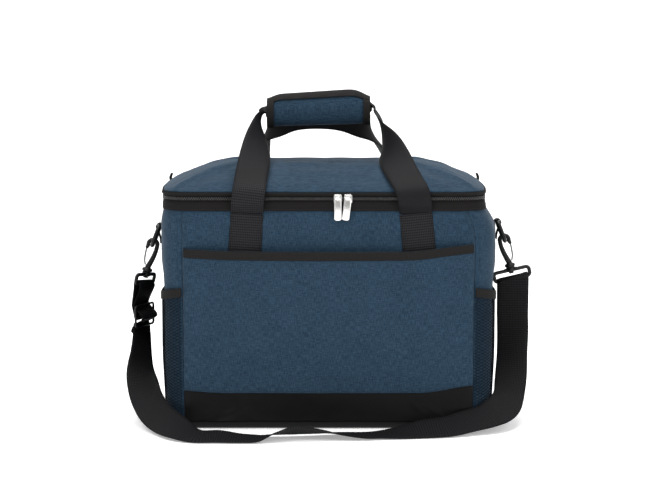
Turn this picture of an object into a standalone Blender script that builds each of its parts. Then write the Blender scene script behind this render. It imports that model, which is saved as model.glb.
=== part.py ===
"""Insulated cooler bag with a zipped lid, two carry handles and a clip-on shoulder strap.

Frame: metres, X to the wearer's right when the front pocket faces -Y, Z up, origin on the floor under
the middle of the base.  The body is a rounded rectangle in plan.  Its walls, foam, liner, zip and pockets
are sheets laid along that outline at growing depth, so that every layer follows the one outside it.
"""
import math

import bmesh
import bpy
import numpy as np
from mathutils import Matrix, Vector

# Body
HALF_W = 0.190
SWELL_CORNER = 0.40
SWELL_START = 0.01
SWELL_RISE = 0.07
HALF_D = 0.120
CORNER = 0.035
SEAM_X = 0.1675
SWELL_LOW = 0.0045
SWELL_HIGH = 0.0050
SWELL_ZIP = 0.0035
GAP = 0.0003
CLOTH = 0.0010
FOAM = 0.0060
FOIL = 0.0008
FOAM_BREAK = 0.003
LAYER_GAP = 0.0008
SEAM_GAP = 0.0005
RIM_Z = 0.0102
BASE_EDGE = 0.008

# Zip, from the bottom up
PANEL_TOP = 0.2557
TAPE_LOW = (0.2560, 0.2670)
TEETH_LOW = (0.2673, 0.2688)
TEETH_HIGH = (0.2691, 0.2706)
TAPE_HIGH = (0.2709, 0.2759)
TEETH_PROUD = 0.0006
TEETH_DEEP = 0.0022
LID_RISE = 0.029
TAB_WIDTH = 0.012
LID_INSET = 0.0005
LID_STEP = 0.0013
PULLER_Z = 0.2705

# Pockets
POCKET_TOP = 0.2130
POCKET_PROUD = 0.008
POCKET_BINDING = 0.012
BAND_TOP = 0.0430
NET_TOP = 0.1535
NET_PROUD = 0.0045

# Webbing
WEB = 0.0016
WEB_WIDTH = 0.038
TAB_WEB = 0.0172
STRAP = 0.0014
SEWN_Y = HALF_D + GAP + WEB / 2
HANDLE_Z = 0.2525

# Clips: each side's hardware hangs in the plane x-z from a ring at BOW, leaning outward by LEAN
BAR_X = 0.2043
BAR_Z = 0.2300
BOW_DROP = 0.0235
RING_SLANT = math.radians(21)
LEAN = math.radians(13)
WIRE = 0.0022
HEAD_RADIUS = 0.0056
SPINE_END = -0.028
BOSS_TOP = -0.0336
RING_TOP = -0.0375
RING_BAR = -0.0485
RING_HALF = 0.0217
LEFT_DROP = 0.0055
LEFT_YAW = math.radians(-65)

COLLECTION = "insulated_cooler_bag"

MATERIALS = {
    "blue_cloth": ((0.032, 0.080, 0.156), 0.85, 0.0),
    "black_cloth": ((0.012, 0.012, 0.013), 0.55, 0.0),
    "binding": ((0.026, 0.024, 0.022), 0.85, 0.0),
    "webbing": ((0.010, 0.010, 0.011), 0.75, 0.0),
    "net": ((0.014, 0.030, 0.056), 0.80, 0.0),
    "foil": ((0.70, 0.71, 0.72), 0.35, 0.9),
    "foam": ((0.85, 0.85, 0.82), 0.90, 0.0),
    "plastic": ((0.012, 0.012, 0.012), 0.40, 0.0),
    "nickel": ((0.78, 0.77, 0.74), 0.18, 1.0),
    "wire": ((0.30, 0.30, 0.31), 0.30, 1.0),
}


def clear_scene():
    """Remove every object left in the scene."""
    for item in list(bpy.data.objects):
        bpy.data.objects.remove(item, do_unlink=True)


def collection(name):
    """Return the named collection, linked to the scene."""
    found = bpy.data.collections.get(name) or bpy.data.collections.new(name)
    if name not in bpy.context.scene.collection.children:
        bpy.context.scene.collection.children.link(found)
    return found


def material(name):
    """Return the Principled material of that name."""
    found = bpy.data.materials.get(name)
    if found is None:
        colour, roughness, metallic = MATERIALS[name]
        found = bpy.data.materials.new(name)
        found.use_nodes = True
        shader = found.node_tree.nodes["Principled BSDF"]
        shader.inputs["Base Color"].default_value = (*colour, 1.0)
        shader.inputs["Roughness"].default_value = roughness
        shader.inputs["Metallic"].default_value = metallic
    return found


def add(name, data, slot):
    """Put one named object with its material into the bag's collection."""
    item = bpy.data.objects.new(name, data)
    collection(COLLECTION).objects.link(item)
    data.materials.append(material(slot))
    return item


def add_bmesh(name, shape, slot):
    """Turn a bmesh into a named object, with its faces pointing out."""
    data = bpy.data.meshes.new(name)
    shape.to_mesh(data)
    shape.free()
    return add(name, data, slot)


def cutter(item):
    """Hide a Boolean operand and keep it out of the bag's collection."""
    collection(COLLECTION).objects.unlink(item)
    collection("cutters").objects.link(item)
    item.hide_render = True
    item.display_type = "WIRE"
    return item


def boolean(item, tool, operation):
    """Cut or join one solid with a hidden one."""
    step = item.modifiers.new(operation.lower(), "BOOLEAN")
    step.operation = operation
    step.object = cutter(tool)


def smooth(t):
    """Smoothstep of t held between 0 and 1."""
    t = min(max(t, 0.0), 1.0)
    return t * t * (3 - 2 * t)


# The outline, measured along from the middle of the front toward +X

FLAT_X = HALF_W - CORNER
FLAT_Y = HALF_D - CORNER
ARC = CORNER * math.pi / 2
LENGTHS = (FLAT_X, ARC, 2 * FLAT_Y, ARC, 2 * FLAT_X, ARC, 2 * FLAT_Y, ARC, FLAT_X)
GIRTH = sum(LENGTHS)
SEAM_S = FLAT_X + CORNER * math.asin((SEAM_X - FLAT_X) / CORNER)


def swell(z):
    """How far the sides stand out at height z: nothing at the floor, most above the net, less at the zip."""
    low = SWELL_LOW * smooth(z / 0.10)
    high = SWELL_HIGH * smooth((z - 0.155) / 0.040)
    return low + high - SWELL_ZIP * smooth((z - 0.225) / 0.030)


def outline(s, z, out=0.0):
    """Point of the outline at girth s and height z, moved out by out; corners take part of the swell."""
    s = s % GIRTH
    arcs = ((FLAT_X, -FLAT_Y, -90), (FLAT_X, FLAT_Y, 0), (-FLAT_X, FLAT_Y, 90), (-FLAT_X, -FLAT_Y, 180))
    walls = ((0, -HALF_D, 1, 0), (HALF_W, -FLAT_Y, 0, 1), (FLAT_X, HALF_D, -1, 0), (-HALF_W, FLAT_Y, 0, -1),
             (-FLAT_X, -HALF_D, 1, 0))
    index = 0
    while s > LENGTHS[index] and index < 8:
        s -= LENGTHS[index]
        index += 1
    if index % 2:
        cx, cy, start = arcs[index // 2]
        angle = math.radians(start) + s / CORNER
        x = cx + (CORNER + out) * math.cos(angle)
        y = cy + (CORNER + out) * math.sin(angle)
    else:
        x0, y0, dx, dy = walls[index // 2]
        x = x0 + dx * s + dy * out
        y = y0 + dy * s - dx * out
    full = smooth((FLAT_Y + SWELL_START - abs(y)) / SWELL_RISE)
    side = smooth((abs(x) - FLAT_X) / (CORNER * 0.8)) * (SWELL_CORNER + (1 - SWELL_CORNER) * full)
    return Vector((x + math.copysign(swell(z) * side, x), y, z))


def spread(start, stop, count):
    """Evenly spaced values with both ends."""
    return [float(value) for value in np.linspace(start, stop, count)]


def girth_stops(start, stop):
    """Girth values from start to stop: ends, wall ends, and steps along corners and walls."""
    stops = {start, stop}
    total = -GIRTH
    for _ in range(3):
        for index, length in enumerate(LENGTHS):
            count = 4 if index % 2 else 2
            stops.update(total + length * k / count for k in range(count))
            total += length
    inside = sorted(value for value in stops if start + 0.002 < value < stop - 0.002)
    return [start] + inside + [stop]


def sheet(name, slot, columns, rows, place, thickness, wrap=False, drop=None):
    """A grid mapped by place(column, row) and thickened inward from its outer face."""
    shape = bmesh.new()
    bmesh.ops.create_grid(shape, x_segments=len(columns) - 1, y_segments=len(rows) - 1, size=1)
    for vert in shape.verts:
        i = round((vert.co.x + 1) / 2 * (len(columns) - 1))
        j = round((vert.co.y + 1) / 2 * (len(rows) - 1))
        vert.co = place(columns[i], rows[j])
    if drop:
        gone = [face for face in shape.faces if drop(face.calc_center_median())]
        bmesh.ops.delete(shape, geom=gone, context="FACES")
    if wrap:
        bmesh.ops.remove_doubles(shape, verts=shape.verts, dist=0.00005)
    item = add_bmesh(name, shape, slot)
    thick = item.modifiers.new("thickness", "SOLIDIFY")
    thick.thickness = thickness
    thick.offset = -1
    thick.use_even_offset = True
    return item


def wall(name, slot, start, stop, low, high, out, thickness, rows=11):
    """A piece of wall along the girth from start to stop and from low to high."""
    return sheet(name, slot, girth_stops(start, stop), spread(low, high, rows),
                 lambda s, z: outline(s, z, out), thickness)


def tub_point(s, depth, low, high, out, radius):
    """Point on a tub: down the wall, round the bottom edge by radius, then in to the middle."""
    straight = high - low - radius
    if depth <= 1:
        return outline(s, high - straight * depth, out)
    if depth <= 2:
        turn = (depth - 1) * math.pi / 2
        inset = radius * (1 - math.cos(turn))
        return outline(s, low + radius * (1 - math.sin(turn)), out - inset)
    edge = outline(s, low, out - radius)
    return Vector((edge.x * (3 - depth), edge.y * (3 - depth), low))


def tub(name, slot, low, high, out, radius, thickness, turns):
    """An open box of cloth or foil with a flat bottom at height low."""
    rows = [2.35] + spread(2, 1, turns) + spread(1, 0, 11)[1:]
    stops = girth_stops(0, GIRTH)
    item_shape = bmesh.new()
    bmesh.ops.create_grid(item_shape, x_segments=len(stops) - 1, y_segments=len(rows) - 1, size=1)
    for vert in item_shape.verts:
        i = round((vert.co.x + 1) / 2 * (len(stops) - 1))
        j = round((vert.co.y + 1) / 2 * (len(rows) - 1))
        vert.co = tub_point(stops[i], rows[j], low, high, out, radius)
    bmesh.ops.remove_doubles(item_shape, verts=item_shape.verts, dist=0.00005)
    bottom = [e for e in item_shape.edges if e.is_boundary and max(v.co.z for v in e.verts) < low + 0.0001]
    bmesh.ops.contextual_create(item_shape, geom=bottom)
    bmesh.ops.recalc_face_normals(item_shape, faces=item_shape.faces)
    item = add_bmesh(name, item_shape, slot)
    thick = item.modifiers.new("thickness", "SOLIDIFY")
    thick.thickness = thickness
    thick.offset = -1
    thick.use_even_offset = True
    return item


def body_walls():
    """Front, side and back panels, the base tray and the front pocket."""
    half = GIRTH / 2
    low = RIM_Z + GAP
    wall("outer_front_panel", "blue_cloth", -SEAM_S, SEAM_S, low, PANEL_TOP, 0, CLOTH)
    wall("outer_right_panel", "blue_cloth", SEAM_S + SEAM_GAP, half - SEAM_S - SEAM_GAP, low, PANEL_TOP, 0, CLOTH)
    wall("outer_back_panel", "blue_cloth", half - SEAM_S, half + SEAM_S, low, PANEL_TOP, 0, CLOTH)
    wall("outer_left_panel", "blue_cloth", half + SEAM_S + SEAM_GAP, GIRTH - SEAM_S - SEAM_GAP, low, PANEL_TOP, 0,
         CLOTH)
    tub("outer_base_panel", "black_cloth", 0, RIM_Z, 0, BASE_EDGE, 0.0014, 4)


def foam_sheets():
    """Foam boards behind the four walls and on the base."""
    half = GIRTH / 2
    out = -CLOTH - LAYER_GAP
    high = 0.2655
    low = RIM_Z + GAP
    wall("foam_front", "foam", -SEAM_S, SEAM_S, low, high, out, FOAM)
    side_start = SEAM_S + FOAM_BREAK
    side_stop = half - SEAM_S - FOAM_BREAK
    wall("foam_right", "foam", side_start, side_stop, low, high, out, FOAM)
    wall("foam_back", "foam", half - SEAM_S, half + SEAM_S, low, high, out, FOAM)
    wall("foam_left", "foam", half + side_start, half + side_stop, low, high, out, FOAM)
    shape = bmesh.new()
    for z in (0.0018, 0.0018 + FOAM):
        ring = [shape.verts.new(outline(s, z, -0.0092)) for s in girth_stops(0, GIRTH)[:-1]]
        shape.faces.new(ring)
    bmesh.ops.bridge_loops(shape, edges=shape.edges)
    bmesh.ops.recalc_face_normals(shape, faces=shape.faces)
    add_bmesh("foam_base", shape, "foam")
    tub("inner_liner", "foil", 0.0018 + FOAM + GAP, high, out - FOAM - LAYER_GAP, 0.001, FOIL, 2)


def lid_height(inset):
    """Height of the lid's outer face at a distance in from its edge."""
    t = min(inset / (HALF_D * 0.9), 1.0)
    return TAPE_HIGH[1] + LID_STEP + LID_RISE * (1 - (1 - t) ** 2.2)


def lid_layer(name, slot, below, start, thickness):
    """One dished layer of the lid, parallel to the outer face and below it."""
    rows = spread(HALF_D * 0.96, start, 6)
    stops = girth_stops(0, GIRTH)

    def place(s, inset):
        """Point of the layer at girth s, with corners that shrink toward the middle."""
        edge = outline(s, TAPE_HIGH[0], 0)
        shrink_x = (HALF_W - inset) / HALF_W
        shrink_y = (HALF_D - inset) / HALF_D
        return Vector((edge.x * shrink_x, edge.y * shrink_y, lid_height(inset) - below))

    shape = bmesh.new()
    bmesh.ops.create_grid(shape, x_segments=len(stops) - 1, y_segments=len(rows) - 1, size=1)
    for vert in shape.verts:
        i = round((vert.co.x + 1) / 2 * (len(stops) - 1))
        j = round((vert.co.y + 1) / 2 * (len(rows) - 1))
        vert.co = place(stops[i], rows[j])
    bmesh.ops.remove_doubles(shape, verts=shape.verts, dist=0.00005)
    limit = HALF_D * 0.05
    inner = [e for e in shape.edges if e.is_boundary and max(abs(v.co.y) for v in e.verts) < limit]
    bmesh.ops.contextual_create(shape, geom=inner)
    bmesh.ops.recalc_face_normals(shape, faces=shape.faces)
    if shape.faces[0].normal.z < 0:
        bmesh.ops.reverse_faces(shape, faces=shape.faces)
    item = add_bmesh(name, shape, slot)
    thick = item.modifiers.new("thickness", "SOLIDIFY")
    thick.thickness = thickness
    thick.offset = -1
    thick.use_even_offset = False
    return item


def zip_run():
    """Half length of the zip, from the front middle to the back corner."""
    return FLAT_X + ARC + 2 * FLAT_Y + ARC * 0.35


def lid_and_zip():
    """The lid's three layers, both zip tapes, both rows of teeth and the hinge strip behind."""
    run = zip_run()
    lid_layer("lid_outer_panel", "blue_cloth", 0, LID_INSET, CLOTH)
    lid_layer("lid_foam", "foam", CLOTH + GAP, 0.0026, FOAM)
    lid_layer("lid_liner", "foil", CLOTH + 1.2 * FOAM + 3 * GAP, 0.0090, FOIL)
    wall("zip_tape_body", "binding", -run, run, *TAPE_LOW, 0, CLOTH, 2)
    wall("zip_tape_lid", "binding", -run, run, *TAPE_HIGH, 0, CLOTH, 2)
    wall("zip_teeth_body", "plastic", -run, run, *TEETH_LOW, TEETH_PROUD, TEETH_DEEP, 2)
    wall("zip_teeth_lid", "plastic", -run, run, *TEETH_HIGH, TEETH_PROUD, TEETH_DEEP, 2)
    back = GIRTH / 2
    width = FLAT_X - 0.004
    wall("lid_hinge_strip", "binding", back - width, back + width, 0.2500, TAPE_HIGH[1] - 0.001,
         GAP + 0.0008, 0.0008, 2)
    side_end = FLAT_X + ARC + 2 * FLAT_Y
    for side, start in (("right", side_end - TAB_WIDTH), ("left", GIRTH - side_end)):
        wall("zip_end_tab_" + side, "binding", start, start + TAB_WIDTH, TAPE_LOW[0] + 0.004, 0.283,
             TEETH_PROUD + GAP + 0.0014, 0.0014, 2)


def pocket_stand(x, z):
    """How far the front pocket stands off the body at x and z."""
    across = max(0.0, 1 - (x / SEAM_X) ** 2) ** 0.6
    return 0.0018 + POCKET_PROUD * across * smooth(z / 0.12)


def front_sheet(name, slot, low, high, extra, thickness, rows):
    """A sheet in front of the body that follows the pocket's bulge."""
    corner = [FLAT_X + (SEAM_X - FLAT_X) * k / 3 for k in (1, 2, 3)]
    columns = [-x for x in reversed(corner)] + spread(-FLAT_X, FLAT_X, 15) + corner

    def place(x, z):
        """Point of the pocket's outer face."""
        edge = abs(x) - FLAT_X
        back = CORNER - math.sqrt(CORNER ** 2 - edge ** 2) if edge > 0 else 0
        return Vector((x, -HALF_D + back - pocket_stand(x, z) - extra, z))

    return sheet(name, slot, columns, spread(low, high, rows), place, thickness)


def front_pocket():
    """The slip pocket, its top binding and the black band along its foot."""
    front_sheet("front_pocket_panel", "blue_cloth", BAND_TOP, POCKET_TOP, 0, CLOTH, 7)
    front_sheet("front_pocket_binding", "binding", POCKET_TOP - POCKET_BINDING, POCKET_TOP, GAP + CLOTH,
                CLOTH, 2)
    front_sheet("front_lower_band", "black_cloth", RIM_Z + GAP, BAND_TOP - GAP, 0, CLOTH, 3)


def side_pockets():
    """The open net pockets on the two sides and the bindings along their tops."""
    start = SEAM_S + 0.003
    stop = GIRTH / 2 - SEAM_S - 0.003
    centre = (start + stop) / 2
    half = (stop - start) / 2

    def stand(s, z):
        """How far the net stands off the side."""
        across = max(0.0, 1 - ((s - centre) / half) ** 2) ** 0.6
        return 0.0014 + NET_PROUD * across * smooth(z / 0.10)

    for side, shift in (("right", 0.0), ("left", GIRTH / 2)):
        sheet("net_pocket_" + side, "net", girth_stops(start, stop), spread(RIM_Z + GAP, NET_TOP, 6),
              lambda s, z: outline(s + shift, z, stand(s, z)), 0.0008)
        sheet("net_binding_" + side, "binding", girth_stops(start, stop),
              spread(NET_TOP - POCKET_BINDING, NET_TOP, 2),
              lambda s, z: outline(s + shift, z, stand(s, z) + GAP + CLOTH), CLOTH)


def route(points, count):
    """Catmull-Rom curve through rows of numbers, evenly sampled between them."""
    rows = np.array(points, float)
    padded = np.vstack([2 * rows[0] - rows[1], rows, 2 * rows[-1] - rows[-2]])
    result = []
    for t in np.linspace(0, len(rows) - 1, count):
        k = min(int(t), len(rows) - 2)
        f = t - k
        a, b, c, d = padded[k:k + 4]
        result.append(0.5 * (2 * b + (c - a) * f + (2 * a - 5 * b + 4 * c - d) * f ** 2
                             + (3 * b - a - 3 * c + d) * f ** 3))
    return np.array(result)


def ribbon(name, slot, stations, thickness, count):
    """Webbing along stations of (x, y, z, width direction x, y, z, width)."""
    rows = route(stations, count)
    ahead = np.gradient(rows[:, :3], axis=0)
    ahead /= np.linalg.norm(ahead, axis=1)[:, None]
    across = rows[:, 3:6] - ahead * np.sum(rows[:, 3:6] * ahead, axis=1)[:, None]
    across /= np.linalg.norm(across, axis=1)[:, None]
    half = rows[:, 6:7] / 2
    edges = (rows[:, :3] - across * half, rows[:, :3] + across * half)
    item = sheet(name, slot, [0, 1], list(range(count)), lambda side, k: Vector(edges[side][k]), thickness)
    item.modifiers["thickness"].offset = 0
    return item


FRONT_HANDLE = (
    (-0.0935, -0.1214, 0.2531, 1, 0, 0, 0.038),
    (-0.0928, -0.1288, 0.2650, 1, 0, 0, 0.038),
    (-0.0910, -0.1262, 0.2800, 1, 0.05, 0, 0.038),
    (-0.0885, -0.1000, 0.2975, 0.92, 0.35, 0, 0.038),
    (-0.0850, -0.0640, 0.3180, 0.70, 0.70, 0, 0.038),
    (-0.0820, -0.0280, 0.3390, 0.35, 0.95, 0, 0.036),
    (-0.0815, -0.0070, 0.3540, 0.05, 1, 0, 0.029),
    (-0.0775, -0.0010, 0.3625, -0.10, 0.95, 0.30, 0.024),
    (-0.0680, 0.0000, 0.3637, 0, 0.80, 0.60, 0.023),
    (-0.0120, 0.0000, 0.3663, 0, 0.70, 0.70, 0.023),
    (0.0450, 0.0000, 0.3688, 0, 0.80, 0.60, 0.023),
    (0.0545, -0.0010, 0.3675, 0.10, 0.95, -0.20, 0.024),
    (0.0600, -0.0070, 0.3570, 0.20, 0.95, 0, 0.029),
    (0.0655, -0.0280, 0.3360, -0.20, 0.97, 0, 0.036),
    (0.0770, -0.0700, 0.3120, -0.75, 0.65, 0, 0.038),
    (0.0865, -0.1030, 0.2950, -0.94, 0.30, 0, 0.038),
    (0.0955, -0.1262, 0.2800, -1, 0.05, 0, 0.038),
    (0.0990, -0.1288, 0.2650, -1, 0, 0, 0.038),
    (0.1003, -0.1214, 0.2531, -1, 0, 0, 0.038),
)

BACK_HANDLE = (
    (-0.0990, 0.1226, 0.2531, 1, 0, 0, 0.038),
    (-0.0985, 0.1288, 0.2650, 1, 0, 0, 0.038),
    (-0.0965, 0.1262, 0.2800, 1, -0.05, 0, 0.038),
    (-0.0920, 0.1000, 0.2975, 0.92, 0, 0.30, 0.038),
    (-0.0870, 0.0680, 0.3130, 0.80, 0, 0.60, 0.038),
    (-0.0810, 0.0420, 0.3280, 0.60, 0.25, 0.80, 0.037),
    (-0.0680, 0.0260, 0.3450, 0.20, 0.20, 1, 0.037),
    (-0.0450, 0.0230, 0.3565, 0, 0, 1, 0.037),
    (-0.0120, 0.0225, 0.3595, 0, 0, 1, 0.037),
    (0.0200, 0.0230, 0.3560, 0, 0, 1, 0.037),
    (0.0450, 0.0260, 0.3450, -0.20, 0.20, 1, 0.037),
    (0.0590, 0.0430, 0.3270, -0.60, 0.25, 0.80, 0.037),
    (0.0700, 0.0680, 0.3130, -0.80, 0, 0.60, 0.038),
    (0.0850, 0.1000, 0.2975, -0.92, 0, 0.30, 0.038),
    (0.0960, 0.1262, 0.2800, -1, -0.05, 0, 0.038),
    (0.0985, 0.1288, 0.2650, -1, 0, 0, 0.038),
    (0.0990, 0.1226, 0.2531, -1, 0, 0, 0.038),
)


def handles():
    """Sewn webbing, the free webbing of both handles and the wrap on the front one."""
    for name, y, foot, top in (("webbing_front_left", -SEWN_Y, -0.0975, -0.0936),
                               ("webbing_front_right", -SEWN_Y, 0.1065, 0.1003),
                               ("webbing_back_left", SEWN_Y, -0.0990, -0.0990),
                               ("webbing_back_right", SEWN_Y, 0.0990, 0.0990)):
        low = 0.190 if y < 0 else 0.030
        high = HANDLE_Z - GAP if y < 0 else 0.2490
        ribbon(name, "webbing", ((foot, y, low, 1, 0, 0, WEB_WIDTH), (top, y, high, 1, 0, 0, WEB_WIDTH)), WEB, 2)
    ribbon("front_handle_webbing", "webbing", FRONT_HANDLE, WEB, 73)
    ribbon("back_handle_webbing", "webbing", BACK_HANDLE, WEB, 65)
    grip_wrap()


WRAP_LEFT = -0.0735
WRAP_RIGHT = 0.0495


def wrap_point(x, angle, wide, tall):
    """Point on the wrap's oval section: angle 0 is the front, growing over the top."""
    t = (x - WRAP_LEFT) / (WRAP_RIGHT - WRAP_LEFT)
    middle = 0.3635 + 0.0055 * t
    grow = 0.94 + 0.08 * smooth(t)
    return Vector((x, -wide * math.cos(angle), middle + tall * grow * math.sin(angle)))


def grip_wrap():
    """A padded oval sleeve round the webbing, and the binding on its top and ends."""
    columns = spread(WRAP_LEFT, WRAP_RIGHT, 9)
    angles = spread(0, 2 * math.pi, 21)
    sheet("grip_wrap_pad", "blue_cloth", columns, angles, lambda x, a: wrap_point(x, a, 0.0160, 0.0205),
          0.0030, wrap=True)
    edge = 0.008
    stops = [WRAP_LEFT, WRAP_LEFT + edge] + columns[1:-1] + [WRAP_RIGHT - edge, WRAP_RIGHT]
    turns = spread(math.radians(-60), math.radians(118), 14)

    def window(centre):
        """True inside the blue window that the binding frames."""
        inside = WRAP_LEFT + edge < centre.x < WRAP_RIGHT - edge
        t = (centre.x - WRAP_LEFT) / (WRAP_RIGHT - WRAP_LEFT)
        return inside and centre.z < 0.3635 + 0.0055 * t + 0.0150

    sheet("grip_wrap_binding", "binding", stops, turns, lambda x, a: wrap_point(x, a, 0.0173, 0.0218),
          0.0009, drop=window)


def sliders():
    """Two zip sliders side by side at the front middle, each with its hanging puller."""
    for side, x, lean in (("left", 0.0108, 0.0), ("right", 0.0226, math.radians(7))):
        face = -HALF_D - TEETH_PROUD - GAP
        shape = bmesh.new()
        bmesh.ops.create_cube(shape, size=1)
        bmesh.ops.scale(shape, verts=shape.verts, vec=(0.0095, 0.0018, 0.0105))
        bmesh.ops.bevel(shape, geom=shape.edges, offset=0.0006, segments=2, affect="EDGES")
        bmesh.ops.translate(shape, verts=shape.verts, vec=(x, face - 0.0009, 0.2690))
        add_bmesh("zip_slider_" + side, shape, "nickel")
        face -= 0.0018 + GAP
        shape = bmesh.new()
        bmesh.ops.create_cube(shape, size=1)
        bmesh.ops.scale(shape, verts=shape.verts, vec=(0.0085, 0.0016, 0.0270))
        corners = [e for e in shape.edges if abs(e.verts[0].co.y - e.verts[1].co.y) > 0.001]
        bmesh.ops.bevel(shape, geom=corners, offset=0.0030, segments=3, affect="EDGES")
        bmesh.ops.translate(shape, verts=shape.verts, vec=(0, 0, -0.0130))
        bmesh.ops.rotate(shape, verts=shape.verts, cent=(0, 0, 0), matrix=Matrix.Rotation(lean, 3, "Y"))
        bmesh.ops.translate(shape, verts=shape.verts, vec=(x, face - 0.0008, PULLER_Z))
        add_bmesh("zip_puller_" + side, shape, "nickel")


class Clip:
    """Places one side's hardware: u points away from the bag, v up along the hook, both leaning by LEAN."""

    def __init__(self, side):
        self.side = side
        self.sign = 1 if side == "right" else -1
        self.drop = 0 if side == "right" else LEFT_DROP
        self.yaw = 0 if side == "right" else LEFT_YAW
        self.bar = Vector((self.sign * BAR_X, 0, BAR_Z - self.drop))
        self.slant = Vector((self.sign * math.sin(RING_SLANT), 0, -math.cos(RING_SLANT)))
        self.bow = self.bar + self.slant * BOW_DROP
        self.u = Vector((self.sign * math.cos(LEAN), 0, math.sin(LEAN)))
        self.v = Vector((-self.sign * math.sin(LEAN), 0, math.cos(LEAN)))
        y = Vector((0, 1, 0))
        self.across = self.u * math.cos(self.yaw) + y * math.sin(self.yaw)
        self.normal = self.across.cross(self.v) * -self.sign
        self.foot = self.bow + self.v * RING_BAR

    def place(self, u, v):
        """World point in the hook's plane."""
        return self.bow + self.u * u + self.v * v

    def ring_point(self, a, v):
        """World point in the strap ring's plane."""
        return self.bow + self.across * a + self.v * v


def tube(name, slot, points, radius, closed=False):
    """A round wire through points."""
    data = bpy.data.curves.new(name, "CURVE")
    data.dimensions = "3D"
    data.bevel_depth = radius
    data.bevel_resolution = 2
    data.use_fill_caps = True
    spline = data.splines.new("POLY")
    spline.points.add(len(points) - 1)
    for point, co in zip(spline.points, points):
        point.co = (*co, 1)
    spline.use_cyclic_u = closed
    return add(name, data, slot)


def as_mesh(item):
    """Replace a curve object by a mesh of its evaluated shape, with the caps welded."""
    name = item.name
    slot = item.data.materials[0].name
    data = bpy.data.meshes.new_from_object(item.evaluated_get(bpy.context.evaluated_depsgraph_get()))
    matrix = item.matrix_world.copy()
    bpy.data.objects.remove(item, do_unlink=True)
    shape = bmesh.new()
    shape.from_mesh(data)
    bmesh.ops.remove_doubles(shape, verts=shape.verts, dist=0.00002)
    bmesh.ops.recalc_face_normals(shape, faces=shape.faces)
    result = add_bmesh(name, shape, slot)
    result.matrix_world = matrix
    return result


def rounded_loop(half_a, half_b, radius, steps=4):
    """Corner points of a rounded rectangle about the origin."""
    points = []
    for cx, cy, start in ((1, 1, 0), (-1, 1, 90), (-1, -1, 180), (1, -1, 270)):
        for k in range(steps + 1):
            angle = math.radians(start + 90 * k / steps)
            points.append((cx * (half_a - radius) + radius * math.cos(angle),
                           cy * (half_b - radius) + radius * math.sin(angle)))
    return points


def turned(name, slot, clip, profile):
    """A solid turned about the hook's axis from (radius, v) points."""
    shape = bmesh.new()
    verts = [shape.verts.new((radius, 0, v)) for radius, v in profile]
    edges = [shape.edges.new(pair) for pair in zip(verts, verts[1:])]
    bmesh.ops.spin(shape, geom=verts + edges, cent=(0, 0, 0), axis=(0, 0, 1), angle=2 * math.pi, steps=16)
    bmesh.ops.remove_doubles(shape, verts=shape.verts, dist=0.00002)
    bmesh.ops.recalc_face_normals(shape, faces=shape.faces)
    turn = Matrix((clip.across, clip.v.cross(clip.across), clip.v)).transposed()
    bmesh.ops.transform(shape, matrix=turn.to_4x4(), verts=shape.verts)
    bmesh.ops.translate(shape, verts=shape.verts, vec=clip.bow)
    return add_bmesh(name, shape, slot)


def clip_hardware(clip):
    """Tab, ring, hook, gate, pin and strap ring of one side."""
    side = clip.side
    bow = [clip.bar + clip.slant * (0.0118 - b) + Vector((0, a, 0)) for a, b in rounded_loop(0.0148, 0.0118, 0.006)]
    tube("d_ring_" + side, "plastic", bow, 0.0024, closed=True)
    ring_tab(clip)
    head = [(HEAD_RADIUS * math.cos(a), HEAD_RADIUS * math.sin(a))
            for a in np.radians(np.linspace(180, -10, 12))]
    path = [(0.0000, SPINE_END), (-0.0022, SPINE_END + 0.004), (-0.0050, -0.012)] + head + [(0.0060, -0.0050)]
    body = tube("hook_body_" + side, "plastic", [clip.place(u, v) for u, v in path], WIRE)
    body.data.resolution_u = 1
    gate = [(0.0042, SPINE_END + 0.0026), (0.0062, -0.018), (0.0062, -0.0060)]
    tube("hook_gate_" + side, "wire", [clip.place(u, v) for u, v in gate], 0.0008)
    turned("hook_pin_" + side, "plastic", clip,
           ((0, -0.0295), (0.0062, -0.0295), (0.0062, -0.0333), (0.0015, -0.0333), (0.0015, -0.0400),
            (0.0030, -0.0400), (0.0030, -0.0416), (0, -0.0416)))
    middle = (RING_TOP + RING_BAR) / 2
    loop = [clip.ring_point(a, middle + b)
            for a, b in rounded_loop(RING_HALF, (RING_TOP - RING_BAR) / 2, 0.0040, 3)]
    ring = as_mesh(tube("strap_ring_" + side, "plastic", loop, 0.0021, closed=True))
    boss = turned("boss_" + side, "plastic", clip, ((0, BOSS_TOP), (0.0052, BOSS_TOP), (0.0052, -0.0394),
                                                    (0, -0.0394)))
    bore = turned("bore_" + side, "plastic", clip, ((0, -0.030), (0.0019, -0.030), (0.0019, -0.0405),
                                                    (0, -0.0405)))
    boolean(ring, boss, "UNION")
    boolean(ring, bore, "DIFFERENCE")


def ring_tab(clip):
    """Webbing sewn up the side, round the ring's bar and down again."""
    x = clip.sign
    turn = 0.0037
    body = clip.bar.x - x * turn
    z = clip.bar.z
    stations = [(body - x * 0.0002, 0, z - 0.038), (body, 0, z - 0.020), (body, 0, z - 0.006)]
    for angle in np.radians((180, 135, 90, 45, 0, -40)):
        stations.append((clip.bar.x + x * turn * math.cos(angle), 0, z + turn * math.sin(angle)))
    stations.append((body + x * 0.0030, 0, z - 0.0125))
    stations.append((body + x * 0.0021, 0, z - 0.0200))
    rows = [(*point, 0, 1, 0, TAB_WEB) for point in stations]
    ribbon("ring_tab_" + clip.side, "webbing", rows, 0.0013, 36)


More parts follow.
